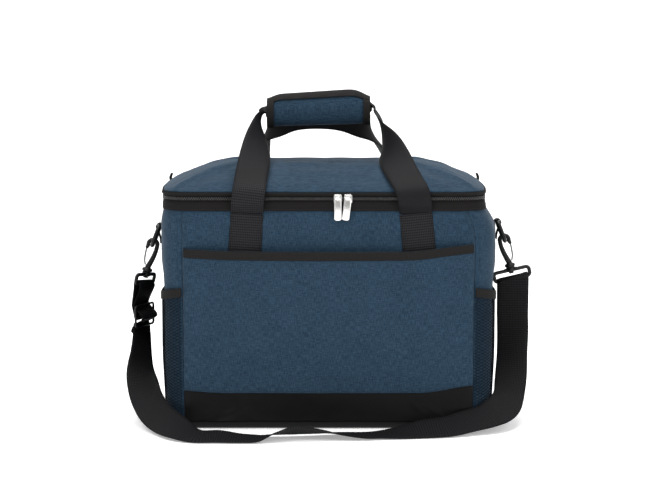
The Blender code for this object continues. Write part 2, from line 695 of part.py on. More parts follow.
# The strap's free run, from under the right ring, along the floor in front, to under the left ring
STRAP_RUN = (
    (0.2232, -0.0100, 0.0930, 0.97, -0.22, 0),
    (0.2205, -0.0320, 0.0660, 0.80, -0.55, -0.20),
    (0.2155, -0.0660, 0.0425, 0.60, -0.64, -0.48),
    (0.2075, -0.1030, 0.0272, 0.28, -0.78, -0.55),
    (0.1890, -0.1310, 0.0200, 0.14, -0.84, -0.52),
    (0.1615, -0.1440, 0.0150, 0.15, -0.84, -0.50),
    (0.1368, -0.1530, 0.0102, 0.15, -0.88, -0.45),
    (0.1080, -0.1570, 0.0080, 0.10, -0.92, -0.36),
    (0.0850, -0.1600, 0.0052, 0.05, -0.97, -0.20),
    (0.0600, -0.1630, 0.0028, 0, -1, -0.06),
    (0.0390, -0.1660, 0.0020, 0, -1, 0),
    (0.0150, -0.1690, 0.0042, 0, -0.99, 0.13),
    (-0.0100, -0.1725, 0.0078, 0, -0.93, 0.33),
    (-0.0385, -0.1765, 0.0098, 0, -0.90, 0.42),
    (-0.0600, -0.1800, 0.0068, 0, -0.96, 0.24),
    (-0.0790, -0.1825, 0.0022, 0, -1, 0),
    (-0.1000, -0.1840, 0.0030, 0, -1, -0.07),
    (-0.1250, -0.1825, 0.0052, -0.10, -0.98, -0.18),
    (-0.1512, -0.1810, 0.0050, -0.22, -0.95, -0.20),
    (-0.1715, -0.1680, 0.0098, -0.20, -0.90, -0.36),
    (-0.1975, -0.1295, 0.0180, -0.20, -0.82, -0.50),
    (-0.2120, -0.0960, 0.0290, -0.30, -0.80, -0.52),
    (-0.2210, -0.0600, 0.0425, -0.52, -0.80, -0.30),
    (-0.2250, -0.0330, 0.0560, -0.56, -0.82, -0.10),
    (-0.2265, -0.0150, 0.0740, -0.50, -0.86, 0),
)
LOOP = 0.0036
ADJUSTER_DROP = 0.0390
ADJUSTER_PITCH = 0.0125


def strap_stations(right, left):
    """The whole strap: sewn loop on the right ring, free run, adjuster, and loop on the left ring."""
    def beside(clip, n, drop):
        """Point below the clip's strap bar, n along the ring's normal."""
        return (*(clip.foot + clip.normal * n - Vector((0, 0, drop))), clip.across.x, clip.across.y, 0)

    def over(clip, angles):
        """Points over the clip's strap bar."""
        return [(*(clip.foot + clip.normal * (LOOP * math.cos(a)) + clip.v * (LOOP * math.sin(a))),
                 *clip.across) for a in np.radians(angles)]

    middle = ADJUSTER_DROP
    pitch = ADJUSTER_PITCH
    rows = [beside(right, 0.0014, 0.046), beside(right, 0.0022, 0.030), beside(right, 0.0030, 0.010)]
    rows += over(right, (0, 45, 90, 135, 180))
    rows += [beside(right, -0.0030, 0.010), beside(right, -0.0022, 0.030), beside(right, -0.0014, 0.046)]
    rows += [tuple(row) for row in STRAP_RUN]
    rows += [beside(left, n, middle + drop) for n, drop in (
        (0.0038, pitch + 0.004), (0.0038, pitch - 0.002), (-0.0063, 0.0025), (-0.0063, -0.0025),
        (0.0038, 0.002 - pitch), (0.0038, -0.004 - pitch))]
    rows += [beside(left, -0.0036, 0.006)]
    rows += over(left, (180, 135, 90, 45, 0))
    rows += [beside(left, 0.0042, 0.006)]
    rows += [beside(left, n, middle + drop) for n, drop in (
        (0.0068, -0.003 - pitch), (0.0068, 0.002 - pitch), (0.0046, -0.002), (0.0036, 0.0022),
        (0.0004, 0.0042))]
    return [(*row, WEB_WIDTH) for row in rows]


def strap_adjuster(clip):
    """A flat three-bar slide, its bars crossing the strap."""
    data = bpy.data.curves.new("strap_adjuster", "CURVE")
    data.dimensions = "2D"
    data.fill_mode = "BOTH"
    data.extrude = 0.0014
    slot = ADJUSTER_PITCH / 2
    loops = [(0.0232, ADJUSTER_PITCH + 0.0016, 0.003, 0), (0.0200, slot - 0.0014, 0.001, slot),
             (0.0200, slot - 0.0014, 0.001, -slot)]
    for half_a, half_b, radius, shift in loops:
        spline = data.splines.new("POLY")
        points = rounded_loop(half_a, half_b, radius, 3)
        spline.points.add(len(points) - 1)
        for point, (a, b) in zip(spline.points, points):
            point.co = (a, b + shift, 0, 1)
        spline.use_cyclic_u = True
    item = add("strap_adjuster", data, "plastic")
    across = Vector((clip.across.x, clip.across.y, 0)).normalized()
    up = Vector((0, 0, 1))
    turn = Matrix((across, up, across.cross(up))).transposed().to_4x4()
    item.matrix_world = Matrix.Translation(clip.foot - up * ADJUSTER_DROP) @ turn


def main():
    """Build the bag."""
    clear_scene()
    body_walls()
    foam_sheets()
    lid_and_zip()
    front_pocket()
    side_pockets()
    handles()
    sliders()
    right = Clip("right")
    left = Clip("left")
    for clip in (right, left):
        clip_hardware(clip)
    ribbon("shoulder_strap", "webbing", strap_stations(right, left), STRAP, 190)
    strap_adjuster(left)


main()
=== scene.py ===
"""Insulated cooler bag: finished cloth, webbing, net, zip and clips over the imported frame.

Metres throughout.  X is to the right of the front pocket, -Y is the front, Z is up, and the floor is z = 0.
The body's walls follow one rounded outline in plan, so most cloth pieces are functions of (girth, height).
"""
import math

import bmesh
import bpy
import numpy as np
from bpy.props import FloatProperty, FloatVectorProperty, PointerProperty
from mathutils import Matrix, Vector


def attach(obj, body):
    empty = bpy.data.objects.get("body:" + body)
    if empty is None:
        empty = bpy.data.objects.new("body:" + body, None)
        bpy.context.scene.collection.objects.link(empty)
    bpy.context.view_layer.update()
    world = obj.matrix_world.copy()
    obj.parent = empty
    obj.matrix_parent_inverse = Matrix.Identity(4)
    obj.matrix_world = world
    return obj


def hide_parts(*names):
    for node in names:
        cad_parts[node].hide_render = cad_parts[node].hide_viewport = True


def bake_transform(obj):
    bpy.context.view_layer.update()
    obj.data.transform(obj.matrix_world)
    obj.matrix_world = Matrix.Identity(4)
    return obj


bl_info = {
    "name": "Insulated Cooler Bag",
    "version": (1, 0, 0),
    "blender": (4, 5, 0),
    "location": "3D View > Sidebar > Cooler Bag",
    "description": "Builds the soft goods and hardware of an insulated cooler bag",
    "category": "Object",
}

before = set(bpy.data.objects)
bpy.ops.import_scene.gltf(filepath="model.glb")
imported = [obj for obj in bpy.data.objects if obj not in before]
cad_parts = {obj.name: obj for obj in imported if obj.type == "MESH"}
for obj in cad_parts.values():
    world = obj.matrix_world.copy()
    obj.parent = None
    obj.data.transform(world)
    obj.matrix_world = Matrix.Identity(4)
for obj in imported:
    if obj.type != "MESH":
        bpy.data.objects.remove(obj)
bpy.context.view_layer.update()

HALF_W, HALF_D, CORNER, SEAM_X = 0.190, 0.120, 0.035, 0.1675
GAP, CLOTH, FOAM = 0.0003, 0.0010, 0.0060
SWELL_LOW, SWELL_HIGH, SWELL_ZIP, SLUMP = 0.0045, 0.0050, 0.0035, 0.0105
SWELL_CORNER, SWELL_START, SWELL_RISE = 0.40, 0.01, 0.07
RIM_Z, PANEL_TOP = 0.0102, 0.2557
TAPE_LOW, TEETH_LOW = (0.2550, 0.2672), (0.2673, 0.2688)
TEETH_HIGH, TAPE_HIGH = (0.2691, 0.2706), (0.2707, 0.2763)
BAND_TOP, POCKET_TOP, NET_TOP, NET_SAG = 0.0430, 0.2130, 0.1535, 0.0130
HANDLE_Z, SEWN_Y, STRAP_WIDTH = 0.2525, 0.1211, 0.038
LID_EDGE, LID_RISE, GRIP_Z = 0.2772, 0.029, 0.3635
WRAP_LEFT, WRAP_RIGHT = -0.0735, 0.0495
ADJUSTER_DROP, ADJUSTER_PITCH = 0.0390, 0.0125

FLAT_X, FLAT_Y, ARC = HALF_W - CORNER, HALF_D - CORNER, CORNER * math.pi / 2
LENGTHS = np.array((FLAT_X, ARC, 2 * FLAT_Y, ARC, 2 * FLAT_X, ARC, 2 * FLAT_Y, ARC, FLAT_X))
ENDS = np.cumsum(LENGTHS)
GIRTH = float(ENDS[-1])
SEAM_S = FLAT_X + CORNER * math.asin((SEAM_X - FLAT_X) / CORNER)
ZIP_RUN = FLAT_X + ARC + 2 * FLAT_Y + ARC * 0.35
# For each stretch of the outline: start x, y, direction x, y; then arc centre x, y and start angle
WALLS = np.array(((0, -HALF_D, 1, 0), (0, 0, 0, 0), (HALF_W, -FLAT_Y, 0, 1), (0, 0, 0, 0), (FLAT_X, HALF_D, -1, 0),
                  (0, 0, 0, 0), (-HALF_W, FLAT_Y, 0, -1), (0, 0, 0, 0), (-FLAT_X, -HALF_D, 1, 0)))
TURNS = np.array(((0, 0, 0), (FLAT_X, -FLAT_Y, -90), (0, 0, 0), (FLAT_X, FLAT_Y, 0), (0, 0, 0),
                  (-FLAT_X, FLAT_Y, 90), (0, 0, 0), (-FLAT_X, -FLAT_Y, 180), (0, 0, 0)))


# ---------------------------------------------------------------- sizes and colours a user may change

class CoolerBagSizes(bpy.types.PropertyGroup):
    """Pitches and thicknesses of the finished cloth."""

    tooth_pitch: FloatProperty(name="Tooth pitch", description="Distance from one zip tooth to the next",
                               default=0.0026, min=0.001, unit="LENGTH")
    stitch_pitch: FloatProperty(name="Stitch pitch", description="Distance from one stitch to the next",
                                default=0.0032, min=0.001, unit="LENGTH")
    net_pitch: FloatProperty(name="Net pitch", description="Width of one diamond of the side nets",
                             default=0.0042, min=0.002, unit="LENGTH")
    webbing: FloatProperty(name="Webbing thickness", description="Thickness of the handle webbing",
                           default=0.0016, min=0.0005, unit="LENGTH")
    strap: FloatProperty(name="Strap thickness", description="Thickness of the shoulder strap",
                         default=0.0015, min=0.0005, unit="LENGTH")
    ridge: FloatProperty(name="Lid ridge", description="Height of the soft ridges that run in from the lid's corners",
                         default=0.0022, min=0.0, unit="LENGTH")


class CoolerBagColours(bpy.types.PropertyGroup):
    """Main colours of the finished bag."""

    cloth_dark: FloatVectorProperty(name="Cloth, dark thread", description="Darker yarn of the heathered cloth",
                                    default=(0.0055, 0.0175, 0.034), subtype="COLOR", min=0, max=1)
    cloth_light: FloatVectorProperty(name="Cloth, light thread", description="Lighter yarn of the heathered cloth",
                                     default=(0.030, 0.062, 0.098), subtype="COLOR", min=0, max=1)
    binding: FloatVectorProperty(name="Binding", description="Woven binding tape", default=(0.0105, 0.0098, 0.0095),
                                 subtype="COLOR", min=0, max=1)
    webbing: FloatVectorProperty(name="Webbing", description="Handle and strap webbing",
                                 default=(0.0048, 0.0048, 0.0053), subtype="COLOR", min=0, max=1)
    coated: FloatVectorProperty(name="Coated cloth", description="Smooth black cloth of the band and base",
                                default=(0.0022, 0.0022, 0.0025), subtype="COLOR", min=0, max=1)
    net: FloatVectorProperty(name="Net", description="Yarn of the side nets", default=(0.0016, 0.0044, 0.0090),
                             subtype="COLOR", min=0, max=1)


# ---------------------------------------------------------------- shapes

def smooth(t):
    """t*t*(3 - 2t) of t held between 0 and 1."""
    t = np.clip(t, 0, 1)
    return t * t * (3 - 2 * t)


def bell(t):
    """exp(-t*t)."""
    return np.exp(-np.square(t))


def ripple(a, b, seed=0.0):
    """Slow uneven waves from -1 to 1: the mean of four sines of mixed multiples of a and b."""
    return (np.sin(41 * a + 23 * b + seed) + np.sin(-29 * a + 57 * b + 2.1 * seed)
            + np.sin(73 * a - 31 * b + 1.3 + seed) + np.sin(17 * a + 89 * b + 0.7 * seed)) / 4


def edged(low, high, count, edge=0.0012):
    """count even values from low to high, with one more close to either end, so that rims stay crisp."""
    inner = np.linspace(low, high, count)
    step = math.copysign(min(edge, 0.4 * abs(inner[1] - inner[0])), high - low)
    return np.concatenate(([low, low + step], inner[1:-1], [high - step, high]))


def swell(z):
    """Side swell: 4.5 mm by z 0.10, 5 mm more above 0.155, less 3.5 mm above 0.225, each a smoothstep."""
    return (SWELL_LOW * smooth(z / 0.10) + SWELL_HIGH * smooth((z - 0.155) / 0.040)
            - SWELL_ZIP * smooth((z - 0.225) / 0.030))


def outline(s, z, out=0.0):
    """Rounded rectangle at girth s from the front middle toward +X, height z, moved out by out.

    Walls are start + direction*s + normal*out, corners are centre + (radius + out)(cos, sin).  X then gets the
    side swell of that height, two fifths of it at the corners and all of it at mid-depth.  The right shoulder
    slumps in by SLUMP toward the zip, as a soft corner does."""
    s, z, out = np.broadcast_arrays(np.mod(np.asarray(s, float), GIRTH), z, out)
    k = np.minimum(np.searchsorted(ENDS, s), 8)
    along = s - (ENDS - LENGTHS)[k]
    x0, y0, dx, dy = np.moveaxis(WALLS[k], -1, 0)
    cx, cy, start = np.moveaxis(TURNS[k], -1, 0)
    angle = np.radians(start) + along / CORNER
    round_ = k % 2 == 1
    x = np.where(round_, cx + (CORNER + out) * np.cos(angle), x0 + dx * along + dy * out)
    y = np.where(round_, cy + (CORNER + out) * np.sin(angle), y0 + dy * along - dx * out)
    full = smooth((FLAT_Y + SWELL_START - np.abs(y)) / SWELL_RISE)
    side = smooth((np.abs(x) - FLAT_X) / (CORNER * 0.8)) * (SWELL_CORNER + (1 - SWELL_CORNER) * full)
    slump = SLUMP * smooth((z - 0.222) / 0.042) * smooth((x - 0.05) / 0.14)
    return np.stack((x + np.sign(x) * swell(z) * side - slump, y, z), axis=-1)


def route(points, count):
    """Catmull-Rom curve through rows of numbers at count even steps."""
    rows = np.array(points, float)
    padded = np.vstack([2 * rows[0] - rows[1], rows, 2 * rows[-1] - rows[-2]])
    t = np.linspace(0, len(rows) - 1, count)
    k = np.minimum(t.astype(int), len(rows) - 2)
    f = (t - k)[:, None]
    a, b, c, d = padded[k], padded[k + 1], padded[k + 2], padded[k + 3]
    return 0.5 * (2 * b + (c - a) * f + (2 * a - 5 * b + 4 * c - d) * f ** 2 + (3 * b - a - 3 * c + d) * f ** 3)


def unit(v):
    """v over its length, along the last axis."""
    return v / np.maximum(np.linalg.norm(v, axis=-1, keepdims=True), 1e-12)


def lengths(path):
    """Running length along a path of points."""
    return np.concatenate(([0.0], np.cumsum(np.linalg.norm(np.diff(path, axis=0), axis=1))))


def even(path, count):
    """The path resampled at count points of equal spacing."""
    run = lengths(path)
    at = np.linspace(0, run[-1], count)
    return np.stack([np.interp(at, run, path[:, k]) for k in range(path.shape[1])], axis=1)


def put(name, points, faces, uvs, material, flat=False):
    """Mesh object from flat arrays of points, faces and one UV per face corner."""
    mesh = bpy.data.meshes.new(name)
    mesh.from_pydata(points.tolist(), [], faces)
    if uvs is not None:
        mesh.uv_layers.new(name="Weave").data.foreach_set("uv", np.asarray(uvs, np.float32).ravel())
    mesh.polygons.foreach_set("use_smooth", np.full(len(mesh.polygons), not flat))
    mesh.materials.append(material)
    item = bpy.data.objects.new(name, mesh)
    bpy.context.scene.collection.objects.link(item)
    return item


def grid(name, points, material, uv=None, close_u=False, close_v=False, caps=False):
    """Quads over a grid of points[i, j]; uv is [i, j] in metres, or the running lengths of the middle lines.

    close_u and close_v join the last row or column to the first, and caps closes the first and last rows."""
    m, n = points.shape[:2]
    if uv is None:
        u = lengths(np.concatenate([points[:, n // 2], points[:1, n // 2]]))
        v = lengths(np.concatenate([points[m // 2], points[m // 2, :1]]))
        uv = np.stack(np.meshgrid(u, v, indexing="ij"), axis=-1)
    elif uv.shape[:2] == (m, n):
        uv = np.pad(uv, ((0, 1), (0, 1), (0, 0)), mode="wrap")
    i, j = np.meshgrid(np.arange(m if close_u else m - 1), np.arange(n if close_v else n - 1), indexing="ij")
    i, j = i.ravel(), j.ravel()
    corners_i, corners_j = np.stack((i, i + 1, i + 1, i), 1), np.stack((j, j, j + 1, j + 1), 1)
    faces = ((corners_i % m) * n + corners_j % n).tolist()
    uvs = uv[corners_i, corners_j].reshape(-1, 2)
    if caps:
        faces += [list(range(n)), [(m - 1) * n + k for k in range(n - 1, -1, -1)]]
        uvs = np.concatenate([uvs, uv[0, :n], uv[m - 1, :n][::-1]])
    return put(name, points.reshape(-1, 3), faces, uvs, material)


def tidy(item, merge=0.0, outward=None):
    """Merge points closer than merge, then turn all faces outward, or away from the point outward."""
    shape = bmesh.new()
    shape.from_mesh(item.data)
    if merge:
        bmesh.ops.remove_doubles(shape, verts=shape.verts, dist=merge)
    bmesh.ops.recalc_face_normals(shape, faces=shape.faces)
    if outward is not None:
        shape.faces.ensure_lookup_table()
        turn = sum(face.normal.dot(face.calc_center_median() - Vector(outward)) * face.calc_area()
                   for face in shape.faces)
        if turn < 0:
            bmesh.ops.reverse_faces(shape, faces=shape.faces)
    shape.to_mesh(item.data)
    shape.free()
    return item


def thicken(item, thickness, offset=-1.0):
    """Give a sheet its thickness, inward from its outer face."""
    step = item.modifiers.new("thickness", "SOLIDIFY")
    step.thickness, step.offset, step.use_even_offset = thickness, offset, False
    return item


def panel(name, s, z, relief, thickness, material, inner=(0, 0, 0.13)):
    """Sheet of the outline over girths s and heights z, standing out by relief(s, z)."""
    s, z = np.meshgrid(s, z, indexing="ij")
    points = outline(s, z, relief(s, z))
    item = grid(name, points, material, uv=np.stack((s, z), axis=-1))
    return thicken(tidy(item, outward=inner), thickness)


def bar_section(width, thickness, across=11):
    """Offsets (a, b) round a flat bar with rounded edges, and a again as the weave's own coordinate."""
    a = np.linspace(-0.5, 0.5, across)
    crown = np.sqrt(np.clip(1 - (2 * np.abs(a)) ** 14, 0.02, 1)) / 2
    return (np.concatenate((a, a[::-1])) * width, np.concatenate((crown, -crown[::-1])) * thickness)


def ribbon(name, rows, thickness, material, relief=None):
    """A flat bar section carried along rows of (point, width direction, width).

    The width direction is made square to the path, and the section's normal is the path's direction crossed
    with it.  relief(v, a) lifts the bar along that normal."""
    path, run = rows[:, :3], lengths(rows[:, :3])
    ahead = unit(np.gradient(path, axis=0))
    across = unit(rows[:, 3:6] - ahead * np.sum(rows[:, 3:6] * ahead, axis=1, keepdims=True))
    up = np.cross(ahead, across)
    a, b = bar_section(1.0, thickness)
    a = rows[:, 6:7] * a[None, :]
    b = np.broadcast_to(b, a.shape)
    if relief is not None:
        b = b + relief(run[:, None], a)
    points = path[:, None] + across[:, None] * a[..., None] + up[:, None] * b[..., None]
    uv = np.stack((a, np.broadcast_to(run[:, None], a.shape)), axis=-1)
    return tidy(grid(name, points, material, uv=uv, close_v=True, caps=True))


def wire(name, path, plane, size, material, closed=False, sides=12, flat=1.0):
    """A round or oval section carried along a flat path; plane is the path's own normal.

    size is the half width in the path's plane, one value or one for each point, and flat times it is the half
    width along plane.  Open ends shrink over three more rings, which rounds them."""
    size = np.broadcast_to(np.asarray(size, float), (len(path),)).copy()
    if closed:
        ahead = unit(np.roll(path, -1, axis=0) - np.roll(path, 1, axis=0))
    else:
        ahead = unit(np.gradient(path, axis=0))
        for end, way in ((0, -1), (-1, 1)):
            turn = np.radians((35, 62, 85))
            extra = path[end] + way * ahead[end] * (np.sin(turn) * size[end])[:, None]
            shrink = np.cos(turn) * size[end]
            if end == 0:
                path, size = np.vstack((extra[::-1], path)), np.concatenate((shrink[::-1], size))
                ahead = np.vstack((np.repeat(ahead[:1], 3, axis=0), ahead))
            else:
                path, size = np.vstack((path, extra)), np.concatenate((size, shrink))
                ahead = np.vstack((ahead, np.repeat(ahead[-1:], 3, axis=0)))
    plane = unit(np.asarray(plane, float))
    side = unit(np.cross(plane, ahead))
    turn = np.linspace(0, 2 * math.pi, sides, endpoint=False)
    points = (path[:, None] + side[:, None] * (np.cos(turn)[None, :, None] * size[:, None, None])
              + plane * (np.sin(turn)[None, :, None] * size[:, None, None] * flat))
    return tidy(grid(name, points, material, close_u=closed, close_v=True, caps=not closed))


def turned(name, profile, origin, axis, material, sides=32):
    """A profile of (radius, height) turned about axis through origin."""
    profile = np.array(profile, float)
    axis = unit(np.asarray(axis, float))
    first = unit(np.cross(axis, (0.0, 1.0, 0.0) if abs(axis[1]) < 0.9 else (1.0, 0.0, 0.0)))
    second = np.cross(axis, first)
    turn = np.linspace(0, 2 * math.pi, sides, endpoint=False)
    ring = first * np.cos(turn)[:, None] + second * np.sin(turn)[:, None]
    points = (np.asarray(origin) + axis * profile[:, 1, None, None]
              + ring[None] * np.maximum(profile[:, 0], 2e-5)[:, None, None])
    return tidy(grid(name, points, material, close_v=True, caps=True))


def rounded_loop(half_a, half_b, radius, steps=8):
    """Points round a rounded rectangle: corner centre + radius(cos, sin), a quarter turn at each corner."""
    turn = np.radians(np.linspace(0, 90, steps + 1))
    quarters = [np.stack((cx * (half_a - radius) + radius * np.cos(turn + np.radians(start)),
                          cy * (half_b - radius) + radius * np.sin(turn + np.radians(start))), 1)
                for cx, cy, start in ((1, 1, 0), (-1, 1, 90), (-1, -1, 180), (1, -1, 270))]
    return np.concatenate(quarters)


def join(name, items):
    """One object from several, keeping each one's material and UVs."""
    for item in items:
        if item.modifiers:
            baked = bpy.data.meshes.new_from_object(item.evaluated_get(bpy.context.evaluated_depsgraph_get()))
            item.modifiers.clear()
            item.data = baked
    with bpy.context.temp_override(active_object=items[0], selected_editable_objects=items, object=items[0],
                                   selected_objects=items):
        bpy.ops.object.join()
    items[0].name = name
    return items[0]


def pod_faces(count, sides):
    """Faces of count closed pods, each four rings of sides points: three rows of quads and two caps."""
    ring, k = np.meshgrid(np.arange(3), np.arange(sides), indexing="ij")
    after = (k + 1) % sides
    quads = np.stack((ring * sides + k, ring * sides + after, (ring + 1) * sides + after, (ring + 1) * sides + k),
                     -1).reshape(-1, 4)
    caps = np.array((np.arange(sides)[::-1], 3 * sides + np.arange(sides)))
    base = (np.arange(count) * 4 * sides)[:, None, None]
    return (base + quads).reshape(-1, 4).tolist() + (base + caps).reshape(-1, sides).tolist()


def stitches(name, paths, out, material, pitch, long=0.0022, radius=0.00028):
    """Short thread stitches along paths: six-sided pods of four rings, at even steps, lifted along out.

    Each pod is centre + t*long*x + r(x)(cos*n + sin*(t x n)), with t the path's direction and n its normal."""
    centres, heads, ups = [], [], []
    for path, up in zip(paths, out):
        path = np.asarray(path, float)
        run = lengths(path)[-1]
        line = even(path, max(int(run / pitch), 2) * 2 + 1)
        ahead = unit(np.gradient(line, axis=0))
        up = np.broadcast_to(np.asarray(up, float), path.shape)
        normal = even(up, len(line)) if up.shape[0] == len(path) else up
        centres.append(line[1::2])
        heads.append(ahead[1::2])
        ups.append(unit(normal[1::2]))
    centre, ahead, up = np.concatenate(centres), np.concatenate(heads), np.concatenate(ups)
    side = np.cross(ahead, up)
    turn = np.linspace(0, 2 * math.pi, 6, endpoint=False)
    along, size = np.array((-0.5, -0.3, 0.3, 0.5)), np.array((0.35, 1.0, 1.0, 0.35))
    points = (centre[:, None, None] + ahead[:, None, None] * (along * long)[None, :, None, None]
              + radius * size[None, :, None, None] * (up[:, None, None] * np.cos(turn)[None, None, :, None]
                                                      + side[:, None, None] * np.sin(turn)[None, None, :, None]))
    return tidy(put(name, points.reshape(-1, 3), pod_faces(len(centre), 6), None, material))


def puff(item, voxel, pressure, cap, frames=16):
    """Blow up a closed cloth form a little and keep each point within cap of where it was."""
    scene = bpy.context.scene
    remesh = item.modifiers.new("even", "REMESH")
    remesh.mode, remesh.voxel_size, remesh.use_smooth_shade = "VOXEL", voxel, True
    mesh = bpy.data.meshes.new_from_object(item.evaluated_get(bpy.context.evaluated_depsgraph_get()))
    item.modifiers.clear()
    item.data = mesh
    rest = np.array([v.co for v in mesh.vertices], float)
    cloth = item.modifiers.new("air", "CLOTH")
    cloth.settings.use_pressure = True
    cloth.settings.uniform_pressure_force = pressure
    cloth.settings.effector_weights.gravity = 0
    cloth.settings.quality = 4
    cloth.point_cache.frame_start, cloth.point_cache.frame_end = 1, frames
    for number in range(1, frames + 1):
        scene.frame_set(number)
    blown = bpy.data.meshes.new_from_object(item.evaluated_get(bpy.context.evaluated_depsgraph_get()))
    item.modifiers.clear()
    item.data = blown
    scene.frame_set(1)
    moved = np.array([v.co for v in blown.vertices], float) - rest
    far = np.linalg.norm(moved, axis=1, keepdims=True)
    held = rest + moved * np.minimum(1, cap / np.maximum(far, 1e-9))
    blown.vertices.foreach_set("co", held.ravel())
    blown.polygons.foreach_set("use_smooth", np.ones(len(blown.polygons), bool))
    step = item.modifiers.new("soften", "SUBSURF")
    step.levels = step.render_levels = 1
    return item


# ---------------------------------------------------------------- materials

class Wire:
    """A shader socket whose operators add Math nodes."""

    def __init__(self, shader, socket):
        self.shader, self.socket = shader, socket

    def _math(self, operation, *values):
        return self.shader.node("ShaderNodeMath", {"operation": operation}, *values)

    def __add__(self, other):
        return self._math("ADD", self, other)

    def __sub__(self, other):
        return self._math("SUBTRACT", self, other)

    def __rsub__(self, other):
        return self._math("SUBTRACT", other, self)

    def __mul__(self, other):
        return self._math("MULTIPLY", self, other)

    def __truediv__(self, other):
        return self._math("DIVIDE", self, other)

    def __pow__(self, other):
        return self._math("POWER", self, other)

    __radd__, __rmul__ = __add__, __mul__

    def sin(self):
        """Sine of the value."""
        return self._math("SINE", self)

    def size(self):
        """Absolute value."""
        return self._math("ABSOLUTE", self)

    def above(self, low, high):
        """0 below low, 1 above high, smooth between."""
        return self.shader.node("ShaderNodeMapRange", {"interpolation_type": "SMOOTHSTEP"}, self, low, high, 0.0, 1.0)


class Finish:
    """One material and the node making used on it."""

    def __init__(self, name, roughness, metallic=0.0, **constants):
        self.material = bpy.data.materials.new(name)
        self.material.use_nodes = True
        self.tree = self.material.node_tree
        self.shader = self.tree.nodes["Principled BSDF"]
        self.shader.inputs["Roughness"].default_value = roughness
        self.shader.inputs["Metallic"].default_value = metallic
        for socket, value in constants.items():
            self.shader.inputs[socket.replace("_", " ")].default_value = value

    def node(self, kind, settings, *values, out=0, **named):
        """Add a node of that kind: settings first, then the values or links of its sockets."""
        made = self.tree.nodes.new(kind)
        for key, value in settings.items():
            setattr(made, key, value)
        pairs = list(zip(made.inputs, values)) + [(made.inputs[key.replace("_", " ")], v) for key, v in named.items()]
        for socket, value in pairs:
            self.feed(socket, value)
        return Wire(self, made.outputs[out])

    def feed(self, socket, value):
        """Link a wire or set a plain value."""
        if isinstance(value, Wire):
            self.tree.links.new(value.socket, socket)
        elif value is not None:
            socket.default_value = value

    def uv(self):
        """The weave's own coordinates across and along, in metres."""
        place = self.node("ShaderNodeUVMap", {"uv_map": "Weave"})
        split = self.tree.nodes.new("ShaderNodeSeparateXYZ")
        self.tree.links.new(place.socket, split.inputs[0])
        return place, Wire(self, split.outputs[0]), Wire(self, split.outputs[1])

    def object_place(self):
        """Object coordinates, in metres."""
        return self.node("ShaderNodeTexCoord", {}, out=3)

    def noise(self, place, scale, detail=2.0, rough=0.5):
        """Noise of place stretched by a scale for each axis."""
        spread = self.node("ShaderNodeVectorMath", {"operation": "MULTIPLY"}, place, scale)
        return self.node("ShaderNodeTexNoise", {}, Vector=spread, Scale=1.0, Detail=detail, Roughness=rough)

    def between(self, factor, first, second):
        """Colour mix of two colours."""
        made = self.tree.nodes.new("ShaderNodeMix")
        made.data_type = "RGBA"
        for index, value in ((0, factor), (6, first), (7, second)):
            if not isinstance(value, Wire) and index:
                value = (*value[:3], 1.0)
            self.feed(made.inputs[index], value)
        return Wire(self, made.outputs[2])

    def colour(self, value):
        """Set the base colour."""
        self.feed(self.shader.inputs["Base Color"], value if isinstance(value, Wire) else (*value[:3], 1.0))

    def rough(self, value):
        """Link the roughness."""
        self.feed(self.shader.inputs["Roughness"], value)

    def bump(self, height, distance, strength=1.0):
        """Raise the surface by height times distance."""
        made = self.node("ShaderNodeBump", {}, Strength=strength, Distance=distance, Height=height)
        self.feed(self.shader.inputs["Normal"], made)


def shade(colour, factor):
    """A colour times a factor."""
    return tuple(min(1.0, c * factor) for c in colour[:3])


def cloth_finish(name, dark, light, on_uv=True):
    """Heathered polyester: two sets of slub streaks, a fine plain weave and faint broad tone changes."""
    f = Finish(name, 0.86, Sheen_Weight=0.06, Sheen_Roughness=0.45, Specular_IOR_Level=0.12)
    place = f.uv()[0] if on_uv else f.object_place()
    warp = f.noise(place, (1300, 150, 150) if on_uv else (1300, 1300, 150), 3.0, 0.6)
    weft = f.noise(place, (130, 1500, 130) if on_uv else (130, 130, 1500), 3.0, 0.6)
    broad = f.noise(place, (28, 28, 28), 3.0)
    slub = warp.above(0.36, 0.66) * 0.5 + weft.above(0.36, 0.66) * 0.5
    f.colour(f.between(slub * 0.85 + broad * 0.30 - 0.08, dark, light))
    fine = f.noise(place, (900, 900, 900), 1.0)
    f.bump(slub * 0.6 + fine * 0.4, 0.00022, 0.55)
    return f.material


def tape_finish(name, colour, pitch=0.0011, across=False, lift=1.9):
    """Woven tape: ribs at pitch along or across it, with painted highlight on their crowns and painted shade in the
    grooves between them.
    """
    f = Finish(name, 0.82, Specular_IOR_Level=0.10)
    place, u, v = f.uv()
    rib = (((u if across else v) * (math.pi / pitch)).sin().size()) ** 0.6
    yarn = f.noise(place, (1800, 600, 100) if across else (600, 1800, 100), 2.0)
    # Colour: painted highlight on the rib crowns and painted shade in the grooves, with random yarn tone
    f.colour(f.between(rib * 0.55 + yarn * 0.5 - 0.1, shade(colour, 0.55), shade(colour, lift)))
    f.bump(rib * 0.7 + yarn * 0.3, 0.00018, 0.7)
    return f.material


